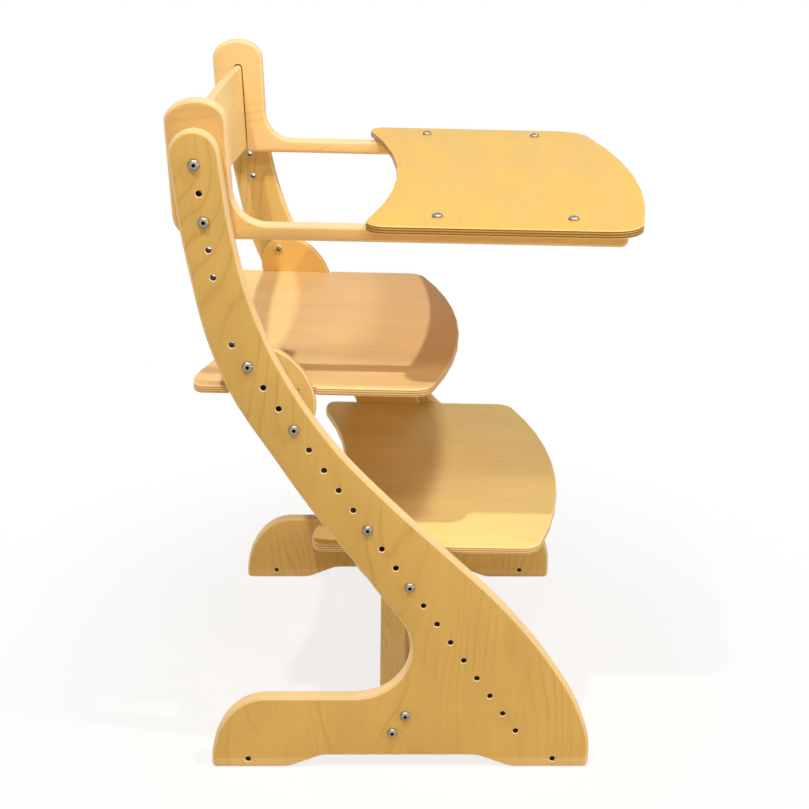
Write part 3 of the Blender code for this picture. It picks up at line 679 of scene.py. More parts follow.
class Pen:
    """Draws a closed flat outline as a wire."""

    def __init__(self, start: Point) -> None:
        """Put the pen down.

        Args:
            start: First point of the outline.
        """
        self.shape = bmesh.new()
        self.first = self.shape.verts.new((*start, 0.0))
        self.last = self.first

    def line(self, *points: Point) -> Pen:
        """Draw straight to each point in turn.

        Args:
            points: Corners of the line.

        Returns:
            The pen.
        """
        for point in points:
            spot = self.shape.verts.new((*point, 0.0))
            self.shape.edges.new((self.last, spot))
            self.last = spot
        return self

    def arc(self, centre: Point, turn: float) -> Pen:
        """Draw an arc around a centre.

        Args:
            centre: Middle of the arc.
            turn: Angle of the arc, counter-clockwise when positive.

        Returns:
            The pen.
        """
        swept = bmesh.ops.spin(
            self.shape,
            geom=[self.last],
            cent=(*centre, 0.0),
            axis=(0.0, 0.0, 1.0),
            angle=turn,
            steps=max(2, ceil(abs(turn) / ARC_STEP)),
            use_duplicate=False,
        )
        self.last = next(item for item in swept["geom_last"] if isinstance(item, bmesh.types.BMVert))
        return self

    def corner(self, point: Point, radius: float, toward: Point) -> Pen:
        """Draw to a corner and round it.

        Args:
            point: The corner.
            radius: Radius of its arc.
            toward: Next point of the outline.

        Returns:
            The pen, at the end of the arc.
        """
        corner = Vector(point)
        back = (self.last.co.xy - corner).normalized()
        ahead = (Vector(toward) - corner).normalized()
        half = back.angle(ahead) / 2
        start = corner + back * radius / tan(half)
        centre = corner + (back + ahead).normalized() * radius / sin(half)
        side = 1.0 if back.cross(ahead) < 0 else -1.0
        return self.line(tuple(start)).arc(tuple(centre), side * (pi - 2 * half))

    def bezier(self, handle: Point, other: Point, end: Point, points: int = CURVE_POINTS) -> Pen:
        """Draw one Bezier stretch with its two handles."""
        spots = interpolate_bezier(self.last.co.xy, Vector(handle), Vector(other), Vector(end), points + 1)
        return self.line(*(tuple(spot) for spot in spots[1:]))

    def oval(self, corner: Point, end: Point) -> Pen:
        """Draw a quarter of an ellipse whose end tangents meet in a corner.

        Args:
            corner: Point where the tangents meet.
            end: End of the quarter.

        Returns:
            The pen.
        """
        start, apex, stop = self.last.co.xy, Vector(corner), Vector(end)
        handle = start.lerp(apex, QUARTER)
        other = stop.lerp(apex, QUARTER)
        return self.bezier(tuple(handle), tuple(other), end, 2 * CURVE_POINTS)

    def curve(self, anchors: Iterable[Point], leaving: Point, arriving: Point) -> Pen:
        """Draw a smooth line through anchors.

        Args:
            anchors: Points that the line passes.
            leaving: Unit direction at the pen's place.
            arriving: Unit direction at the last anchor.

        Returns:
            The pen.
        """
        spots = [self.last.co.xy, *(Vector(anchor) for anchor in anchors)]
        chords = [(after - before).length for before, after in zip(spots, spots[1:])]
        slopes = [Vector(leaving)]
        for index in range(1, len(spots) - 1):
            before, after = chords[index - 1], chords[index]
            in_slope = (spots[index] - spots[index - 1]) / before
            out_slope = (spots[index + 1] - spots[index]) / after
            slopes.append((in_slope * after + out_slope * before) / (before + after))
        slopes.append(Vector(arriving))
        for index, chord in enumerate(chords):
            handle = spots[index] + slopes[index] * chord / 3
            other = spots[index + 1] - slopes[index + 1] * chord / 3
            self.bezier(tuple(handle), tuple(other), tuple(spots[index + 1]))
        return self

    def close(self) -> Shape:
        """Join the ends and fill the outline with one face.

        Returns:
            The filled outline.
        """
        if (self.first.co - self.last.co).length > WELD:
            self.shape.edges.new((self.last, self.first))
        bmesh.ops.remove_doubles(self.shape, verts=self.shape.verts, dist=10 * WELD)
        bmesh.ops.contextual_create(self.shape, geom=self.shape.edges)
        return self.shape


def to_mesh(shape: Shape, name: str) -> Mesh:
    """Turn a bmesh into a mesh and free it.

    Args:
        shape: The bmesh.
        name: Name of the mesh.

    Returns:
        The mesh.
    """
    mesh = bpy.data.meshes.new(name)
    shape.to_mesh(mesh)
    shape.free()
    return mesh


def to_turned_mesh(shape: Shape, name: str) -> Mesh:
    """Finish a turned fastener, smooth between its sharp edges.

    Args:
        shape: The closed bmesh.
        name: Name of the mesh.

    Returns:
        The mesh.
    """
    bmesh.ops.recalc_face_normals(shape, faces=shape.faces)
    mesh = to_mesh(shape, name)
    mesh.shade_smooth()
    mesh.set_sharp_from_angle(angle=SHARP_ANGLE)
    return mesh


def new_spots(made: dict[str, list]) -> list[bmesh.types.BMVert]:
    """Vertices that an extrusion has made."""
    return [item for item in made["geom"] if isinstance(item, bmesh.types.BMVert)]


def thicken(shape: Shape, low: float, high: float) -> Shape:
    """Draw a filled outline out into a closed solid.

    Args:
        shape: The outline at height zero.
        low: Height of the underside.
        high: Height of the top.

    Returns:
        The same bmesh.
    """
    bmesh.ops.translate(shape, vec=(0.0, 0.0, low), verts=shape.verts)
    raised = bmesh.ops.extrude_face_region(shape, geom=shape.faces[:])
    bmesh.ops.translate(shape, vec=(0.0, 0.0, high - low), verts=new_spots(raised))
    bmesh.ops.recalc_face_normals(shape, faces=shape.faces)
    return shape


def spin_round(shape: Shape, section: Sequence, sides: int, centre: Point = (0.0, 0.0)) -> None:
    """Turn a section full round an upright axis.

    Args:
        shape: Bmesh that holds the section.
        section: Its vertices and edges.
        sides: Sides of the turned form.
        centre: Where the axis stands.
    """
    bmesh.ops.spin(
        shape,
        geom=section,
        cent=(*centre, 0.0),
        axis=(0.0, 0.0, 1.0),
        angle=2 * pi,
        steps=sides,
        use_merge=True,
    )
    bmesh.ops.remove_doubles(shape, verts=shape.verts, dist=WELD)


def carve(mesh: Mesh, cutter: Shape) -> Mesh:
    """Cut a mesh with closed shapes.

    Args:
        mesh: Mesh to cut.
        cutter: Shapes to take out of it.

    Returns:
        The cut mesh.
    """
    bmesh.ops.recalc_face_normals(cutter, faces=cutter.faces)
    body = bpy.data.objects.new(mesh.name, mesh)
    tool = bpy.data.objects.new(mesh.name + "_cutter", to_mesh(cutter, mesh.name + "_cutter"))
    for item in (body, tool):
        bpy.context.scene.collection.objects.link(item)
    modifier = body.modifiers.new("cut", "BOOLEAN")
    modifier.operation = "DIFFERENCE"
    modifier.solver = "EXACT"
    modifier.object = tool
    done = bpy.data.meshes.new_from_object(body.evaluated_get(bpy.context.evaluated_depsgraph_get()))
    for item in (body, tool):
        bpy.data.objects.remove(item)
    return done


def drill(cutter: Shape, spot: Point, diameter: float, thick: float, mouth: float) -> None:
    """Add a through hole with broken edges to the cutter of a flat board.

    Args:
        cutter: Shapes to take out of the board.
        spot: Middle of the hole.
        diameter: Diameter of the hole.
        thick: Thickness of the board.
        mouth: Width of the broken edge.
    """
    radius, half = diameter / 2, thick / 2
    wide, past = radius + mouth, half + CUT_PAST
    section = [(0.0, past), (wide, past), (wide, half), (radius, half - mouth)]
    section += [(x, -z) for x, z in reversed(section)]
    spots = [cutter.verts.new((spot[0] + x, spot[1], z)) for x, z in section]
    edges = [cutter.edges.new(pair) for pair in zip(spots, spots[1:])]
    spin_round(cutter, spots + edges, HOLE_SIDES, spot)


def add_piece(name: str, mesh: Mesh, body: Body, node: str) -> None:
    """Show a finished mesh in place of a node of the frame.

    Args:
        name: Name of the piece.
        mesh: Mesh with its place in it and its material on it.
        body: Body that it moves with.
        node: Node that it stands for.
    """
    piece = bpy.data.objects.new(name, mesh)
    bpy.context.scene.collection.objects.link(piece)
    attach(piece, body.value)
    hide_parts(node)
    log.info("%s rides on %s and stands for %s", name, body.value, node)


@dataclass
class Board:
    """Flat board: an outline with a thickness, rounded-over edges and cuts."""

    name: str
    outline: Callable[[], Shape]
    finish: BirchPly
    round_over: float
    grain: float = 0.0  # direction of the grain from the outline's x axis
    seed: float = 0.0
    thickness: float = 0.0
    segments: int = 5
    cutter: Shape | None = None
    holes: Sequence[Point] = ()
    hole_d: float = STOCK.hole_d
    mouth: float = 0.0007  # broken edge of a hole

    def shape(self) -> Shape:
        """Thicken the outline about its plane and round its edges over.

        Returns:
            The board without its cuts.
        """
        half = (self.thickness or self.finish.thickness) / 2
        shape = thicken(self.outline(), -half, half)
        if self.round_over:
            rims = [edge for edge in shape.edges if any(len(face.verts) > 4 for face in edge.link_faces)]
            bmesh.ops.bevel(
                shape,
                geom=rims,
                offset=self.round_over,
                offset_type="OFFSET",
                affect="EDGES",
                segments=self.segments,
                profile=0.5,
                material=-1,
            )
        return shape

    def mesh(self, place: Matrix, bend: Callable[[Vector], Vector] | None = None) -> Mesh:
        """Make the finished mesh.

        Args:
            place: Where the flat board goes.
            bend: Moves the points of a board that isn't flat.

        Returns:
            The mesh, cut, dressed and in its place.
        """
        mesh = to_mesh(self.shape(), self.name)
        cutter = self.cutter or bmesh.new()
        for spot in self.holes:
            drill(cutter, spot, self.hole_d, self.finish.thickness, self.mouth)
        if len(cutter.faces):
            mesh = carve(mesh, cutter)
            mesh.name = self.name
        self.write_sheet(mesh)
        self.write_bores(mesh)
        if bend is not None:
            for spot in mesh.vertices:
                spot.co = bend(spot.co)
        self.shade(mesh)
        mesh.transform(place)
        mesh.materials.clear()
        mesh.materials.append(self.finish.material(self.name, self.seed))
        return mesh

    def write_sheet(self, mesh: Mesh) -> None:
        """Keep the flat coordinates, turned to the grain.

        Args:
            mesh: The board, still flat.
        """
        turn = Matrix.Rotation(-self.grain, 3, "Z")
        spots = mesh.attributes.new(SHEET, "FLOAT_VECTOR", "POINT")
        for value, spot in zip(spots.data, mesh.vertices):
            value.vector = turn @ spot.co

    def write_bores(self, mesh: Mesh) -> None:
        """Mark the broken edges and the walls of the holes, for their painted highlight and painted shade.

        Args:
            mesh: The board, still flat.
        """
        marks = mesh.attributes.new(BORE, "FLOAT", "FACE")
        spots = [Vector(spot) for spot in self.holes]
        for mark, face in zip(marks.data, mesh.polygons):
            reach = min(((face.center.xy - spot).length for spot in spots), default=1.0)
            if reach < self.hole_d / 2 + self.mouth and abs(face.normal.z) < WALL_NORMAL:
                mark.value = WALL_MARK if reach < self.hole_d / 2 else RIM_MARK

    def shade(self, mesh: Mesh) -> None:
        """Shade the two faces flat and everything around them smooth.

        Args:
            mesh: The board, still flat.
        """
        for face in mesh.polygons:
            face.use_smooth = abs(face.normal.z) < FACE_NORMAL
        mesh.set_sharp_from_angle(angle=SHARP_ANGLE)


@dataclass
class StripBoard(Board):
    """Board that is sliced across, so that it can be bent."""

    strips: int = 2

    def shape(self) -> Shape:
        """Thicken, round over and slice the board.

        Returns:
            The board without its cuts.
        """
        shape = super().shape()
        ends = [spot.co.x for spot in shape.verts]
        low, high = min(ends), max(ends)
        for index in range(1, self.strips):
            bmesh.ops.bisect_plane(
                shape,
                geom=shape.verts[:] + shape.edges[:] + shape.faces[:],
                dist=WELD,
                plane_co=(low + (high - low) * index / self.strips, 0.0, 0.0),
                plane_no=(1.0, 0.0, 0.0),
            )
        return shape

    def shade(self, mesh: Mesh) -> None:
        """Shade the whole bent board smooth."""
        mesh.shade_smooth()
        mesh.set_sharp_from_angle(angle=SHARP_ANGLE)


@dataclass
class SectionBoard(Board):
    """Board that is drawn as a section and drawn out along its length."""

    def write_sheet(self, mesh: Mesh) -> None:
        """Keep the flat coordinates: the grain runs along the length and the plies across the section.

        Args:
            mesh: The board before it is put in its place.
        """
        spots = mesh.attributes.new(SHEET, "FLOAT_VECTOR", "POINT")
        for value, spot in zip(spots.data, mesh.vertices):
            value.vector = (spot.co.z, spot.co.y, spot.co.x)


@dataclass(frozen=True)
class Screw:
    """Button-head socket screw, with the underside of its head at the origin."""

    head_d: float = 0.0125
    head_height: float = 0.0035
    rim: float = 0.0008
    flat_d: float = 0.0062
    socket: float = 0.004
    socket_depth: float = 0.0017
    shank_d: float = 0.006
    chamfer: float = 0.0007
    dome_handles: Pair = (0.36, 0.47)  # reach of the dome's Bezier handles, as shares of the head's diameter
    dome_drop: float = 0.40  # height of the lower one above the rim, as a share of the head's height
    dome_points: int = 7

    def mesh(self, name: str, length: float) -> Mesh:
        """Turn the head and shank, and sink the hexagon socket.

        Args:
            name: Name of the mesh.
            length: Length of the shank.

        Returns:
            The closed mesh along +Z.
        """
        shape = bmesh.new()
        upper, lower = (self.head_d * share for share in self.dome_handles)
        dome = interpolate_bezier(
            Vector((self.flat_d / 2, 0.0, self.head_height)),
            Vector((upper, 0.0, self.head_height)),
            Vector((lower, 0.0, self.rim + self.head_height * self.dome_drop)),
            Vector((self.head_d / 2, 0.0, self.rim)),
            self.dome_points,
        )
        shank = self.shank_d / 2
        corners = [(self.head_d / 2, 0.0), (shank, 0.0), (shank, self.chamfer - length)]
        corners += [(shank - self.chamfer, -length), (0.0, -length)]
        spots = [shape.verts.new(spot) for spot in [*dome, *((x, 0.0, z) for x, z in corners)]]
        edges = [shape.edges.new(pair) for pair in zip(spots, spots[1:])]
        spin_round(shape, spots + edges, TURN_STEPS)
        mouth = [edge for edge in shape.edges if edge.is_boundary]
        made = bmesh.ops.create_circle(
            shape,
            segments=HEX_SIDES,
            radius=self.socket / sqrt(3),
            matrix=Matrix.Translation((0.0, 0.0, self.head_height)),
        )
        sides = list({edge for spot in made["verts"] for edge in spot.link_edges})
        bmesh.ops.subdivide_edges(shape, edges=sides, cuts=TURN_STEPS // HEX_SIDES - 1)
        hexagon = [edge for edge in shape.edges if edge.is_wire]
        bmesh.ops.bridge_loops(shape, edges=mouth + hexagon)
        walls = bmesh.ops.extrude_edge_only(shape, edges=hexagon)
        bmesh.ops.translate(shape, vec=(0.0, 0.0, -self.socket_depth), verts=new_spots(walls))
        floor = [edge for edge in shape.edges if edge.is_boundary]
        bmesh.ops.contextual_create(shape, geom=floor)
        return to_turned_mesh(shape, name)


@dataclass(frozen=True)
class SleeveNut:
    """Flanged sleeve nut, with the underside of its flange at the origin and the sleeve down -Z."""

    bore_d: float = 0.0066
    sleeve_d: float = 0.0086
    sleeve_length: float = 0.008
    flange_d: float = 0.012
    flange: float = 0.0015
    round_over: float = 0.0006

    @property
    def hole_d(self) -> float:
        """Hole that takes the sleeve."""
        return self.sleeve_d + 2 * STOCK.fit

    def mesh(self, name: str) -> Mesh:
        """Turn the nut from its section.

        Args:
            name: Name of the mesh.

        Returns:
            The closed mesh.
        """
        shape = bmesh.new()
        bore, sleeve, flange = self.bore_d / 2, self.sleeve_d / 2, self.flange_d / 2
        section = [(bore, self.flange), (flange, self.flange), (flange, 0.0), (sleeve, 0.0)]
        section += [(sleeve, -self.sleeve_length), (bore, -self.sleeve_length)]
        spots = [shape.verts.new((x, 0.0, z)) for x, z in section]
        shape.faces.new(spots)
        bmesh.ops.bevel(
            shape,
            geom=[spots[1]],
            offset=self.round_over,
            offset_type="OFFSET",
            affect="VERTICES",
            segments=FINE_SEGMENTS,
            profile=0.5,
            material=-1,
        )
        bmesh.ops.delete(shape, geom=shape.faces[:], context="FACES_ONLY")
        spin_round(shape, shape.edges[:] + shape.verts[:], TURN_STEPS)
        return to_turned_mesh(shape, name)


NUT = SleeveNut()


@dataclass
class Stretcher:
    """Leaning board between the panels, close to the floor."""

    x: float = -0.017
    z: float = 0.0642
    lean: float = radians(33.0)
    depth: float = 0.065
    corner_r: float = 0.005
    bolt_spacing: float = 0.029

    def bolts(self) -> list[Point]:
        """Middles of the two bolts of a side, the upper one first."""
        reach = self.bolt_spacing / 2
        return [(self.x + step * sin(self.lean), self.z + step * cos(self.lean)) for step in (reach, -reach)]

    def outline(self) -> Shape:
        """Draw the section of the board.

        Returns:
            The filled outline.
        """
        thick, deep = STOCK.panel / 2, self.depth / 2
        spots = [(thick, -deep), (thick, deep), (-thick, deep), (-thick, -deep)]
        pen = Pen((0.0, -deep))
        for spot, after in zip(spots, spots[1:] + spots[:1]):
            pen.corner(spot, self.corner_r, after)
        return pen.close()

    def build(self) -> None:
        """Make the stretcher."""
        board = SectionBoard(
            name="stretcher",
            outline=self.outline,
            finish=STRETCHER_PLY,
            round_over=0.0,
            seed=41.0,
            thickness=2 * (STOCK.panel_inner_y - STOCK.fit),
        )
        stand = Matrix.Translation((self.x, 0.0, self.z)) @ Matrix.Rotation(self.lean, 4, "Y")
        place = stand @ UPRIGHT
        add_piece("birch_stretcher", board.mesh(place), Body.FRAME, "stretcher")


@dataclass
class SidePanels:
    """The two S-shaped side panels with their rows of holes."""

    stretcher: Stretcher
    foot_rear: float = -0.2478
    foot_front: float = 0.2188
    foot_top: float = 0.102
    foot_corner_r: float = 0.0065
    foot_hole_inset: float = 0.045
    foot_hole_z: float = 0.013
    heel: float = 0.069
    arch_height: float = 0.017
    arch_ramp: float = 0.042
    arch_r: float = 0.040
    rear_pad: float = 0.0945
    front_pad: float = 0.097
    front_straight: float = 0.027
    throat_x: float = -0.0708
    throat_r: float = 0.0675
    throat_turn: float = radians(37.0)
    neck_half: float = 0.0272
    neck_shift: float = 0.0008
    neck_rise: float = 0.009
    round_over: float = 0.005
    front_foot: tuple[Point, ...] = ((-0.0150, 0.085), (-0.0500, 0.148))
    front_main: tuple[Point, ...] = (
        (0.441, 0.0787),
        (0.353, 0.0610),
        (0.254, 0.0400),
        (0.173, 0.0273),
        (0.126, 0.0250),
        (0.021, 0.0339),
    )
    front_upper: tuple[Point, ...] = ((0.145, 0.0343), (0.077, 0.0282))
    rear_upper: tuple[Point, ...] = ((0.058, -0.0275), (0.123, -0.0249))
    rear_main: tuple[Point, ...] = (
        (-0.027, -0.0178),
        (0.043, -0.0350),
        (0.142, -0.0400),
        (0.220, -0.0410),
        (0.302, -0.0371),
    )
    seed: float = 2.3
    seed_step: float = 4.1

    def outline(self) -> Shape:
        """Draw the panel as seen from the right: floor, front edge, crown, rear edge, throat and heel.

        Returns:
            The filled outline.
        """
        r = self.foot_corner_r
        rear_arch = self.foot_rear + self.rear_pad
        front_arch = self.foot_front - self.front_pad
        rear_crest = (rear_arch + self.arch_ramp, self.arch_height)
        front_crest = (front_arch - self.arch_ramp, self.arch_height)
        up = (-sin(UPPER_ROW.lean), cos(UPPER_ROW.lean))
        crown_front = UPPER_ROW.point(-self.neck_rise, self.neck_shift + self.neck_half)
        front = [(self.foot_front + x, z) for x, z in self.front_foot]
        front += [MAIN_ROW.point(*spot) for spot in self.front_main]
        front += [UPPER_ROW.point(*spot) for spot in self.front_upper]
        throat = (self.throat_x, self.foot_top + self.throat_r)
        throat_start = (
            throat[0] + self.throat_r * cos(self.throat_turn),
            throat[1] + self.throat_r * sin(self.throat_turn),
        )
        rear = [UPPER_ROW.point(*spot) for spot in self.rear_upper]
        rear += [MAIN_ROW.point(*spot) for spot in self.rear_main]
        pen = Pen((self.foot_rear, r)).arc((self.foot_rear + r, r), pi / 2)
        pen.corner((rear_arch, 0.0), self.arch_r, rear_crest).corner(rear_crest, self.arch_r, front_crest)
        pen.corner(front_crest, self.arch_r, (front_arch, 0.0))
        pen.corner((front_arch, 0.0), self.arch_r, (self.foot_front, 0.0))
        pen.line((self.foot_front - r, 0.0)).arc((self.foot_front - r, r), pi / 2)
        pen.line((self.foot_front, self.front_straight)).curve([*front, crown_front], (0.0, 1.0), up)
        pen.arc(UPPER_ROW.point(-self.neck_rise, self.neck_shift), pi)
        down = (sin(self.throat_turn), -cos(self.throat_turn))
        pen.curve([*rear, throat_start], (-up[0], -up[1]), down).arc(throat, -pi / 2 - self.throat_turn)
        pen.line((self.foot_rear + self.heel, self.foot_top))
        pen.oval((self.foot_rear, self.foot_top), (self.foot_rear, r))
        return pen.close()

    def holes(self) -> list[Point]:
        """Find the holes of a panel.

        Returns:
            Middles of the two rows, the stretcher's bolts and the feet's holes.
        """
        spots = [MAIN_ROW.hole(index) for index in range(MAIN_ROW.count)]
        spots += [UPPER_ROW.hole(index) for index in range(UPPER_ROW.count)]
        spots += self.stretcher.bolts()
        spots.append((self.foot_rear + self.foot_hole_inset, self.foot_hole_z))
        spots.append((self.foot_front - self.foot_hole_inset, self.foot_hole_z))
        return spots

    def build(self) -> None:
        """Make both panels."""
        for number, side in enumerate(Side):
            node = f"side_panel_{side.label}"
            board = Board(
                name=node,
                outline=self.outline,
                finish=PANEL_PLY if side is Side.RIGHT else FAR_PANEL_LIT_PLY,
                round_over=self.round_over,
                grain=pi / 2,
                seed=self.seed + self.seed_step * number,
                holes=self.holes(),
            )
            y = side.value * (STOCK.overall_width - STOCK.panel) / 2
            place = Matrix.Translation((0.0, y, 0.0)) @ UPRIGHT
            add_piece(f"birch_{node}", board.mesh(place), Body.FRAME, node)


@dataclass(frozen=True)
class ArmFrame:
    """Plane of the arms, which falls a little to the front, and what the boards on it share."""

    x: float = -0.2286
    z: float = 0.6699
    fall: float = radians(1.0)
    bar: float = 0.018  # height of the bars
    groove_depth: float = 0.009
    groove_width: float = 0.012

    def place(self, along: float = 0.0, y: float = 0.0, up: float = 0.0) -> Matrix:
        """Find a place in the arms' frame.

        Args:
            along: Distance forward along the bar.
            y: Distance to the sitter's left.
            up: Distance above the bar's underside.

        Returns:
            Matrix of that place.
        """
        origin = Matrix.Translation((self.x, 0.0, self.z)) @ Matrix.Rotation(self.fall, 4, "Y")
        return origin @ Matrix.Translation((along, y, up))


ARMS = ArmFrame()


@dataclass
class TrayArms:
    """The two L-shaped arms: an upright stem with a groove, and a bar that carries the tray."""

    reach: float = 0.457
    nose_r: float = 0.008
    round_over: float = 0.005
    stem_width: float = 0.066
    stem_height: float = 0.1497
    stem_crown: float = 0.024
    stem_lean: float = radians(3.0)
    heel_r: float = 0.026
    throat_r: float = 0.037
    groove_top: float = 0.1123
    grain: float = radians(14.0)
    seed: float = 11.0
    seed_step: float = 3.7

    def stem(self, along: float, across: float) -> Point:
        """Find a point of the leaning stem.

        Args:
            along: Distance up the stem.
            across: Distance forward of its middle.

        Returns:
            The point in the arm's plane.
        """
        return (
            -along * sin(self.stem_lean) + across * cos(self.stem_lean),
            along * cos(self.stem_lean) + across * sin(self.stem_lean),
        )

    def outline(self) -> Shape:
        """Draw the arm in its own plane, from its crown down the rear and out along the bar.

        Returns:
            The filled outline.
        """
        half = self.stem_width / 2
        shoulder = self.stem_height - self.stem_crown
        heel = self.stem(half * tan(self.stem_lean), -half)
        throat = self.stem((ARMS.bar - half * sin(self.stem_lean)) / cos(self.stem_lean), half)
        front_shoulder = self.stem(shoulder, half)
        pen = Pen(self.stem(shoulder, -half)).corner(heel, self.heel_r, (self.reach, 0.0))
        pen.corner((self.reach, 0.0), self.nose_r, (self.reach, ARMS.bar))
        pen.corner((self.reach, ARMS.bar), self.nose_r, throat)
        pen.corner(throat, self.throat_r, front_shoulder).line(front_shoulder)
        pen.oval(self.stem(self.stem_height, half), self.stem(self.stem_height, 0.0))
        pen.oval(self.stem(self.stem_height, -half), self.stem(shoulder, -half))
        return pen.close()

    def groove(self, side: Side) -> Shape:
        """Make the cutter of the backrest's groove, round at its top and open under the arm.

        Args:
            side: Side of the arm, whose inner face takes the groove.

        Returns:
            The cutter.
        """
        half = ARMS.groove_width / 2
        pen = Pen(self.stem(-self.heel_r, half)).line(self.stem(self.groove_top, half))
        pen.arc(self.stem(self.groove_top, 0.0), pi).line(self.stem(-self.heel_r, -half))
        floor = STOCK.panel / 2 - ARMS.groove_depth
        past = STOCK.panel / 2 + CUT_PAST
        return thicken(pen.close(), *sorted((side.value * floor, side.value * past)))

    def build(self) -> None:
        """Make both arms."""
        for number, side in enumerate(Side):
            node = f"tray_arm_{side.label}"
            board = Board(
                name=node,
                outline=self.outline,
                finish=NEAR_ARM_PLY if side is Side.RIGHT else FAR_ARM_LIT_PLY,
                round_over=self.round_over,
                grain=self.grain,
                seed=self.seed + self.seed_step * number,
                cutter=self.groove(side),
            )
            place = ARMS.place(y=side.value * STOCK.arm_y) @ UPRIGHT
            add_piece(f"birch_{node}", board.mesh(place), Body.FRAME, node)


@dataclass
class Backrest:
    """Board that is bent backwards, with its ends in the grooves of the stems."""

    low: float = 0.004
    top: float = 0.116
    low_rise: float = 0.005
    low_corner_r: float = 0.014
    top_corner_r: float = 0.0045
    end_gap: float = 0.0015
    bow: float = 0.0095
    round_over: float = 0.004
    lean: float = radians(2.0)
    stations: int = 28

    @property
    def half(self) -> float:
        """Half the length of the board."""
        return STOCK.arm_y - STOCK.panel / 2 + ARMS.groove_depth - self.end_gap

    def sag(self, y: float) -> float:
        """How far the board is bent backwards at a distance from its middle."""
        return self.bow * (1 - (y / self.half) ** 2)

    def outline(self) -> Shape:
        """Draw the board from the front, with a shallow arch along its lower edge.

        Returns:
            The filled outline.
        """
        half, r = self.half, self.low_corner_r
        pen = Pen((-half, self.top - self.top_corner_r)).corner((-half, self.low), r, (half, self.low))
        crest = (0.0, self.low + self.low_rise)
        flat = (half - r) / 2
        pen.bezier((-flat, self.low), (-flat, crest[1]), crest).bezier(
            (flat, crest[1]), (flat, self.low), (half - r, self.low)
        )
        pen.arc((half - r, self.low + r), pi / 2)
        pen.corner((half, self.top), self.top_corner_r, (-half, self.top))
        pen.corner((-half, self.top), self.top_corner_r, (-half, self.low))
        return pen.close()

    def curved(self, spot: Vector) -> Vector:
        """Bend a point of the flat board."""
        return Vector((spot.x, spot.y, spot.z - self.sag(spot.x)))

    def build(self) -> None:
        """Make the backrest."""
        board = StripBoard(
            name="backrest",
            outline=self.outline,
            finish=BACKREST_LIT_PLY,
            round_over=self.round_over,
            seed=21.0,
            strips=self.stations,
        )
        bent = self.sag(STOCK.arm_y - STOCK.panel / 2)
        forward = STOCK.plate / 2 + STOCK.fit - ARMS.groove_width / 2 + bent
        axes = Matrix(((0, 0, 1, 0), (1, 0, 0, 0), (0, 1, 0, 0), (0, 0, 0, 1)))
        lean = Matrix.Rotation(-self.lean, 4, "Y")
        stand = Matrix.Translation((ARMS.x, 0.0, ARMS.z)) @ lean
        mesh = board.mesh(stand @ Matrix.Translation((forward, 0.0, 0.0)) @ axes, self.curved)
        add_piece("birch_backrest", mesh, Body.FRAME, "backrest")


@dataclass(frozen=True)
class Bow:
    """Bowed edge of a plate: a long arc about a centre on the middle line, ending in a corner arc."""

    apex: float
    radius: float
    corner_r: float
    half: float

    @property
    def centre(self) -> float:
        """Middle of the long arc."""
        return self.apex - self.radius

    @property
    def corner(self) -> Point:
        """Middle of the corner arc on the left."""
        y = self.half - self.corner_r
        return self.centre + sqrt((self.radius - self.corner_r) ** 2 - y**2), y

    @property
    def turn(self) -> float:
        """Half the angle of the long arc."""
        return atan2(self.corner[1], self.corner[0] - self.centre)

    def begin(self) -> Pen:
        """Draw the long arc from its right end, and the corner on the left."""
        start = (self.centre + self.radius * cos(self.turn), -self.radius * sin(self.turn))
        return Pen(start).arc((self.centre, 0.0), 2 * self.turn).arc(self.corner, pi / 2 - self.turn)

    def end(self, pen: Pen) -> Shape:
        """Draw on to the corner on the right, and fill the outline."""
        x, y = self.corner
        return pen.line((x, -self.half)).arc((x, -y), pi / 2 - self.turn).close()


@dataclass
class Tray:
    """Tray with a bowed front and a hollow rear edge, on the bars of the arms."""

    width: float = 0.530
    rear: float = 0.2078
    rear_r: float = 0.860
    rear_corner_r: float = 0.020
    front: float = 0.4975
    front_r: float = 1.060
    front_corner_r: float = 0.042
    round_over: float = 0.002
    bolt_rear: float = 0.2498
    bolt_spacing: float = 0.147

    def outline(self) -> Shape:
        """Draw the tray from above, starting at the right end of its front edge.

        Returns:
            The filled outline.
        """
        half = self.width / 2
        bow = Bow(self.front, self.front_r, self.front_corner_r, half)
        centre = self.rear - self.rear_r
        y = half - self.rear_corner_r
        x = centre + sqrt((self.rear_r + self.rear_corner_r) ** 2 - y**2)
        turn = atan2(y, x - centre)
        pen = bow.begin().line((x, half)).arc((x, y), pi / 2 + turn)
        pen.arc((centre, 0.0), -2 * turn).arc((x, -y), pi / 2 + turn)
        return bow.end(pen)

    def bolts(self) -> list[tuple[str, float]]:
        """Names and distances of the two bolts of a side along the bar."""
        return [("rear", self.bolt_rear), ("front", self.bolt_rear + self.bolt_spacing)]

    def build(self) -> None:
        """Make the tray."""
        board = Board(
            name="tray",
            outline=self.outline,
            finish=TRAY_PLY,
            round_over=self.round_over,
            grain=pi / 2,
            seed=31.0,
            segments=FINE_SEGMENTS,
            holes=[(along, side.value * STOCK.arm_y) for side in Side for _, along in self.bolts()],
        )
        place = ARMS.place(up=ARMS.bar + STOCK.fit + STOCK.plate / 2)
        add_piece("birch_tray", board.mesh(place), Body.FRAME, "tray")


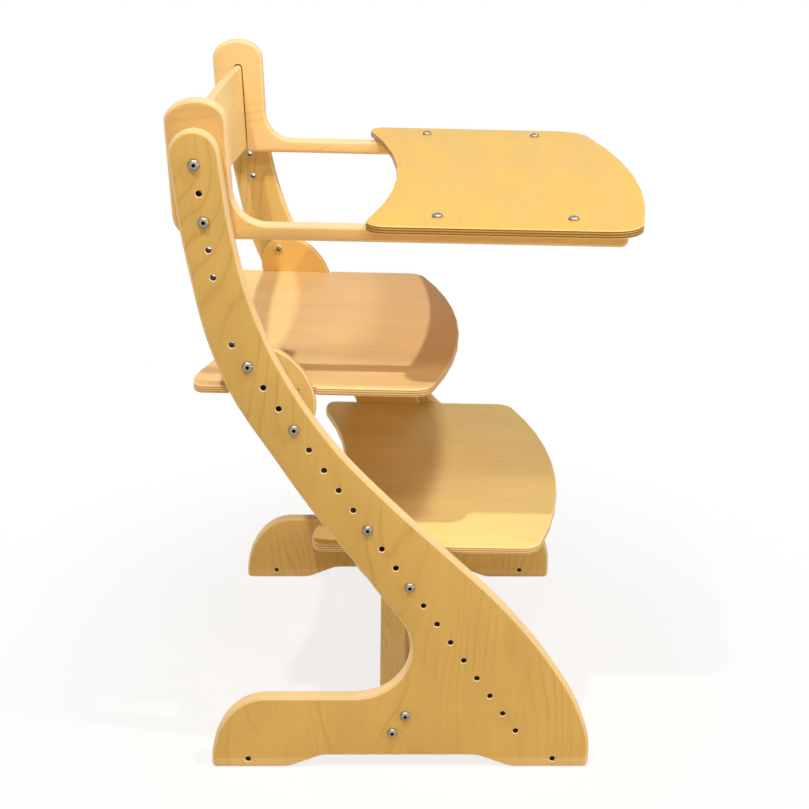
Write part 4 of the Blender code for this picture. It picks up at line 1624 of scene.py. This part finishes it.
@dataclass
class SeatUnit:
    """Seat or footrest: a plate tenoned into two oval brackets, which are bolted to the row of holes."""

    body: Body
    finish: BirchPly
    hole: int
    fall: float
    seed: float
    width: float = 0.452
    front: float = 0.2195
    front_r: float = 0.600
    front_corner_r: float = 0.025
    rear: float = -0.058
    rear_r: float = 0.560
    tail_r: float = 0.060
    tail_inset: float = 0.025
    tail_corner_r: float = 0.012
    round_over: float = 0.0025
    tenon: float = 0.060
    notch_play: float = 0.0015
    bolt_holes: int = 3
    bracket_end: float = 0.015
    bracket_half: float = 0.0435
    bracket_round: float = 0.0035
    bracket_grain: float = radians(80.0)
    bracket_seed: float = 5.0

    @property
    def middle(self) -> Point:
        """Middle of the brackets."""
        return MAIN_ROW.hole(self.hole + self.bolt_holes / 2)

    @property
    def bracket_length(self) -> float:
        """Half the length of a bracket."""
        return self.bolt_holes * MAIN_ROW.pitch / 2 + self.bracket_end

    def bolts(self) -> list[tuple[str, Point]]:
        """Names and places of the two bolts of a side."""
        return [("upper", MAIN_ROW.hole(self.hole)), ("lower", MAIN_ROW.hole(self.hole + self.bolt_holes))]

    def outline(self) -> Shape:
        """Draw the plate from above, starting at the right end of its front edge.

        Returns:
            The filled outline.
        """
        half = self.width / 2
        bow = Bow(self.front, self.front_r, self.front_corner_r, half)
        along = sin(MAIN_ROW.lean) / self.bracket_length
        across = cos(MAIN_ROW.lean) / self.bracket_half
        notch = 1 / hypot(along, across) + self.notch_play
        floor = STOCK.bracket_y - STOCK.plate / 2 - STOCK.fit
        tip = STOCK.bracket_y + STOCK.plate / 2 - STOCK.fit
        tooth = [(notch, half), (notch, floor), (self.tenon / 2, floor), (self.tenon / 2, tip)]
        left = tooth + [(-x, y) for x, y in reversed(tooth)]
        right = [(-x, -y) for x, y in left]
        centre = self.rear - self.rear_r
        tail_y = half - self.tail_inset
        tail_x = centre + sqrt((self.rear_r + self.tail_r) ** 2 - tail_y**2)
        turn = atan2(tail_y, tail_x - centre)
        y = half - self.tail_corner_r
        x = tail_x - sqrt((self.tail_r - self.tail_corner_r) ** 2 - (y - tail_y) ** 2)
        bend = atan2(y - tail_y, x - tail_x)
        pen = bow.begin().line(*left).line((x, half))
        pen.arc((x, y), bend - pi / 2).arc((tail_x, tail_y), pi + turn - bend)
        pen.arc((centre, 0.0), -2 * turn)
        pen.arc((tail_x, -tail_y), pi + turn - bend).arc((x, -y), bend - pi / 2).line(*right)
        return bow.end(pen)

    def bracket(self) -> Shape:
        """Draw the oval bracket, its long axis along the row of holes.

        Returns:
            The filled outline.
        """
        long, wide = self.bracket_length, self.bracket_half
        row = Row((0.0, 0.0), MAIN_ROW.lean, MAIN_ROW.pitch, 1)
        pen = Pen(row.point(long, 0.0))
        for corner, end in (
            ((long, wide), (0.0, wide)),
            ((-long, wide), (-long, 0.0)),
            ((-long, -wide), (0.0, -wide)),
            ((long, -wide), (long, 0.0)),
        ):
            pen.oval(row.point(*corner), row.point(*end))
        return pen.close()

    def build(self) -> None:
        """Make the plate and its brackets."""
        name = self.body.value
        x, z = self.middle
        plate = Board(
            name=name,
            outline=self.outline,
            finish=self.finish,
            round_over=self.round_over,
            seed=self.seed,
            segments=FINE_SEGMENTS,
        )
        level = Matrix.Translation((x, 0.0, z)) @ Matrix.Rotation(self.fall, 4, "Y")
        add_piece(f"birch_{name}", plate.mesh(level), self.body, name)
        for side in Side:
            node = f"{name}_bracket_{side.label}"
            cutter = bmesh.new()
            play = 2 * STOCK.fit
            slot = Matrix.Diagonal((self.tenon + play, STOCK.plate + play, 2 * STOCK.plate, 1.0))
            bmesh.ops.create_cube(cutter, size=1.0, matrix=Matrix.Rotation(-self.fall, 4, "Z") @ slot)
            board = Board(
                name=node,
                outline=self.bracket,
                finish=NEAR_BRACKET_SHADED_PLY if side is Side.RIGHT else FAR_BRACKET_PLY,
                round_over=self.bracket_round,
                grain=self.bracket_grain,
                seed=self.seed + self.bracket_seed + side.value,
                segments=FINE_SEGMENTS,
                cutter=cutter,
                holes=[(bolt_x - x, bolt_z - z) for _, (bolt_x, bolt_z) in self.bolts()],
                hole_d=NUT.hole_d,
            )
            place = Matrix.Translation((x, side.value * STOCK.bracket_y, z)) @ UPRIGHT
            add_piece(f"birch_{node}", board.mesh(place), self.body, node)


@dataclass
class Hardware:
    """All the screws and nuts."""

    tray: Tray
    seats: tuple[SeatUnit, ...]
    stretcher: Stretcher
    screw: Screw = field(default_factory=Screw)
    zinc: bpy.types.Material = field(default_factory=ZINC.material)
    yellow_zinc: bpy.types.Material = field(default_factory=YELLOW_ZINC.material)
    panel_length: float = 0.026
    tray_length: float = 0.018
    stretcher_length: float = 0.055
    arm_holes: tuple[tuple[str, int], ...] = (("upper", 0), ("lower", 2))
    turn_step: float = 0.7  # how much further each screw was turned than the one before

    @staticmethod
    def outward(spot: Point, side: Side, y: float) -> Matrix:
        """Place on a side of the chair, with +Z pointing outwards."""
        place = Matrix.Translation((spot[0], side.value * y, spot[1]))
        return place @ Matrix.Rotation(-side.value * pi / 2, 4, "X")

    def put(self, node: str, mesh: Mesh, place: Matrix, body: Body, turn: float) -> None:
        """Put one fastener in its place.

        Args:
            node: Node that it stands for.
            mesh: Its mesh along +Z.
            place: Where it goes.
            body: Body that it moves with.
            turn: How far it was turned when it was tightened.
        """
        mesh.transform(place @ Matrix.Rotation(turn, 4, "Z"))
        mesh.materials.append(self.yellow_zinc if "nut" in node else self.zinc)
        add_piece(f"zinc_{node}", mesh, body, node)

    def build(self) -> None:
        """Make every screw and nut that shows, and dress the hidden ones."""
        head_y = STOCK.overall_width / 2 + STOCK.fit
        turn = 0.0
        for side in Side:
            spots = [
                (f"arm_bolt_{side.label}_{level}", UPPER_ROW.hole(hole), self.panel_length, Body.FRAME)
                for level, hole in self.arm_holes
            ]
            for unit in self.seats:
                spots += [
                    (f"{unit.body.value}_bolt_{side.label}_{level}", spot, self.panel_length, unit.body)
                    for level, spot in unit.bolts()
                ]
            spots += [
                (f"stretcher_bolt_{side.label}_{level}", spot, self.stretcher_length, Body.FRAME)
                for level, spot in zip(("upper", "lower"), self.stretcher.bolts())
            ]
            for node, spot, length, body in spots:
                turn += self.turn_step
                self.put(node, self.screw.mesh(node, length), self.outward(spot, side, head_y), body, turn)
            for level, along in self.tray.bolts():
                turn += self.turn_step
                node = f"tray_bolt_{side.label}_{level}"
                up = ARMS.bar + STOCK.plate + 2 * STOCK.fit
                place = ARMS.place(along, side.value * STOCK.arm_y, up)
                self.put(node, self.screw.mesh(node, self.tray_length), place, Body.FRAME, turn)
            for unit in self.seats:
                for level, (x, z) in unit.bolts():
                    node = f"{unit.body.value}_nut_{side.label}_{level}"
                    y = STOCK.bracket_y - STOCK.plate / 2 - STOCK.fit
                    inward = Matrix.Rotation(side.value * pi / 2, 4, "X")
                    place = Matrix.Translation((x, side.value * y, z)) @ inward
                    self.put(node, NUT.mesh(node), place, unit.body, turn)
        for name, node in frame["nodes"].items():
            if "insert" in name or "barrel" in name:
                node.data.materials.clear()
                node.data.materials.append(self.zinc)
                log.info("%s keeps its solid", name)


@dataclass(frozen=True)
class Lamp:
    """Round soft lamp that looks at the chair."""

    name: str
    toward: tuple[float, float, float]  # direction from the chair to the lamp
    diameter: float
    share: float  # light on a face that looks at the lamp, where one shows a colour as it is written
    distance: float = 4.5
    tint: str = "#fffaf4"
    mirrored: bool = True  # false for a fill that glossy surfaces don't show


@dataclass
class Studio:
    """Camera, lamps, world and floor."""

    lamps: tuple[Lamp, ...] = (
        Lamp("rear_lamp", (-0.226, -0.374, 1.0), 0.12, 0.47),
        Lamp("side_lamp", (0.10, -0.65, 1.0), 0.90, 0.22),
        Lamp("front_lamp", (0.62, -0.30, 1.0), 0.22, 0.42),
        Lamp("camera_fill", (-0.10, -1.0, 0.20), 1.60, 0.13),
        Lamp("front_fill", (1.0, -0.35, 0.05), 1.00, 0.19),
        Lamp("far_fill", (0.25, 1.0, 0.0), 0.90, 0.34, mirrored=False),
        Lamp("back_fill", (-1.0, 0.30, 0.0), 0.90, 0.30, mirrored=False),
    )
    target: Point = (0.0, 0.45)
    world_share: float = 0.12
    world_tint: str = "#ffe2b8"
    camera_place: tuple[float, float, float] = (-0.031799, -1.706581, 1.078972)
    pitch: float = radians(22.121)
    yaw: float = radians(-0.754)
    roll: float = radians(0.428)
    lens: float = 62.905
    sensor: float = 36.0
    floor_radius: float = 16.0
    floor_sides: int = 96
    floor_drop: float = 0.0004  # below the feet
    floor_colour: str = "#f4f3f0"
    floor_bounce: str = "#dccfb8"  # what the floor sends back to the chair
    fade_reach: Pair = (0.25, 0.80)  # distances from the chair between which the floor fades
    fade_share: Pair = (0.80, 1.0)  # share of the background there

    def clear(self) -> None:
        """Remove what Blender's own start file holds."""
        kept = set(frame["nodes"].values()) | set(frame["bodies"].values())
        for item in list(bpy.data.objects):
            if item not in kept:
                bpy.data.objects.remove(item)

    def add_camera(self) -> None:
        """Put the camera where the photograph was taken."""
        turn = Matrix.Rotation(self.yaw, 3, "Z")
        ahead = turn @ Vector((0.0, cos(self.pitch), -sin(self.pitch)))
        up = turn @ Vector((0.0, sin(self.pitch), cos(self.pitch)))
        right = turn @ Vector((1.0, 0.0, 0.0))
        level_right = cos(self.roll) * right + sin(self.roll) * up
        level_up = cos(self.roll) * up - sin(self.roll) * right
        lens = bpy.data.cameras.new("camera")
        lens.lens = self.lens
        lens.sensor_width = self.sensor
        camera = bpy.data.objects.new("camera", lens)
        axes = Matrix((level_right, level_up, -ahead)).transposed().to_4x4()
        camera.matrix_world = Matrix.Translation(self.camera_place) @ axes
        bpy.context.scene.collection.objects.link(camera)
        bpy.context.scene.camera = camera

    def add_lamps(self) -> None:
        """Hang the lamps."""
        middle = Vector((self.target[0], 0.0, self.target[1]))
        for lamp in self.lamps:
            light = bpy.data.lights.new(lamp.name, "AREA")
            light.shape = "DISK"
            light.size = lamp.diameter
            light.energy = pi**2 * lamp.distance**2 * lamp.share
            light.color = linear(lamp.tint)[:3]
            item = bpy.data.objects.new(lamp.name, light)
            item.visible_glossy = lamp.mirrored
            toward = Vector(lamp.toward).normalized()
            item.location = middle + toward * lamp.distance
            item.rotation_euler = toward.to_track_quat("Z", "Y").to_euler()
            bpy.context.scene.collection.objects.link(item)

    def seen_directly(self, tree: Tree) -> Socket:
        """Tell the rays that show the background itself from those that light the chair.

        Args:
            tree: Tree that takes the nodes.

        Returns:
            One for camera rays, reflections and rays through glass.
        """
        path = add_node(tree, "ShaderNodeLightPath")
        mirror = add_node(
            tree,
            "ShaderNodeMath",
            {"operation": "MAXIMUM"},
            {0: path.outputs["Is Glossy Ray"], 1: path.outputs["Is Transmission Ray"]},
        )
        return add_node(
            tree,
            "ShaderNodeMath",
            {"operation": "MAXIMUM"},
            {0: path.outputs["Is Camera Ray"], 1: mirror.outputs[0]},
        ).outputs[0]

    def set_world(self) -> None:
        """Light the chair evenly from all round, in front of a white background."""
        world = bpy.data.worlds.new("studio")
        world.use_nodes = True
        tree = world.node_tree
        tree.nodes.clear()
        light = add_node(
            tree,
            "ShaderNodeBackground",
            inputs={"Color": linear(self.world_tint), "Strength": self.world_share},
        )
        white = add_node(tree, "ShaderNodeBackground", inputs={"Color": WHITE, "Strength": 1.0})
        mixed = add_node(
            tree,
            "ShaderNodeMixShader",
            inputs={0: self.seen_directly(tree), 1: light.outputs[0], 2: white.outputs[0]},
        )
        add_node(tree, "ShaderNodeOutputWorld", inputs={0: mixed.outputs[0]})
        bpy.context.scene.world = world

    def add_floor(self) -> None:
        """Lay a pale floor that turns into the white background and keeps a soft shadow by the chair."""
        shape = bmesh.new()
        bmesh.ops.create_circle(shape, cap_ends=True, segments=self.floor_sides, radius=self.floor_radius)
        bmesh.ops.translate(shape, vec=(0.0, 0.0, -self.floor_drop), verts=shape.verts)
        material, tree = new_material("pale_floor")
        place = add_node(tree, "ShaderNodeTexCoord")
        reach = add_node(
            tree, "ShaderNodeVectorMath", {"operation": "LENGTH"}, {0: place.outputs["Object"]}
        )
        (start, end), (low, high) = self.fade_reach, self.fade_share
        fade = add_node(
            tree,
            "ShaderNodeMapRange",
            {"interpolation_type": "SMOOTHSTEP"},
            {0: reach.outputs["Value"], 1: start, 2: end, 3: low, 4: high},
        )
        path = self.seen_directly(tree)
        share = add_node(tree, "ShaderNodeMath", {"operation": "MULTIPLY"}, {0: fade.outputs[0], 1: path})
        colour = add_node(
            tree,
            "ShaderNodeMix",
            COLOURS,
            {"Factor": path, FIRST: linear(self.floor_bounce), SECOND: linear(self.floor_colour)},
        )
        matt = add_node(tree, "ShaderNodeBsdfDiffuse", inputs={"Color": colour.outputs[MIXED]})
        white = add_node(tree, "ShaderNodeEmission", inputs={"Color": WHITE, "Strength": 1.0})
        mixed = add_node(
            tree, "ShaderNodeMixShader", inputs={0: share.outputs[0], 1: matt.outputs[0], 2: white.outputs[0]}
        )
        add_node(tree, "ShaderNodeOutputMaterial", inputs={0: mixed.outputs[0]})
        mesh = to_mesh(shape, "floor")
        mesh.materials.append(material)
        floor = bpy.data.objects.new("floor", mesh)
        bpy.context.scene.collection.objects.link(floor)

    def build(self) -> None:
        """Set up the studio."""
        self.add_camera()
        self.add_lamps()
        self.set_world()
        self.add_floor()
        bpy.context.scene.view_settings.view_transform = "Standard"


def main() -> None:
    """Dress the chair and light it."""
    logging.basicConfig(level=logging.INFO, format="%(name)s: %(message)s")
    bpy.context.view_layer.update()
    studio = Studio()
    studio.clear()
    stretcher = Stretcher()
    tray = Tray()
    seats = (
        SeatUnit(Body.SEAT, SEAT_PLY, hole=1, fall=radians(1.1), seed=51.0),
        SeatUnit(Body.FOOTREST, FOOTREST_PLY, hole=9, fall=radians(0.9), seed=61.0),
    )
    SidePanels(stretcher).build()
    TrayArms().build()
    Backrest().build()
    tray.build()
    for unit in seats:
        unit.build()
    stretcher.build()
    Hardware(tray, seats, stretcher).build()
    studio.build()


if __name__ == "__main__":
    main()
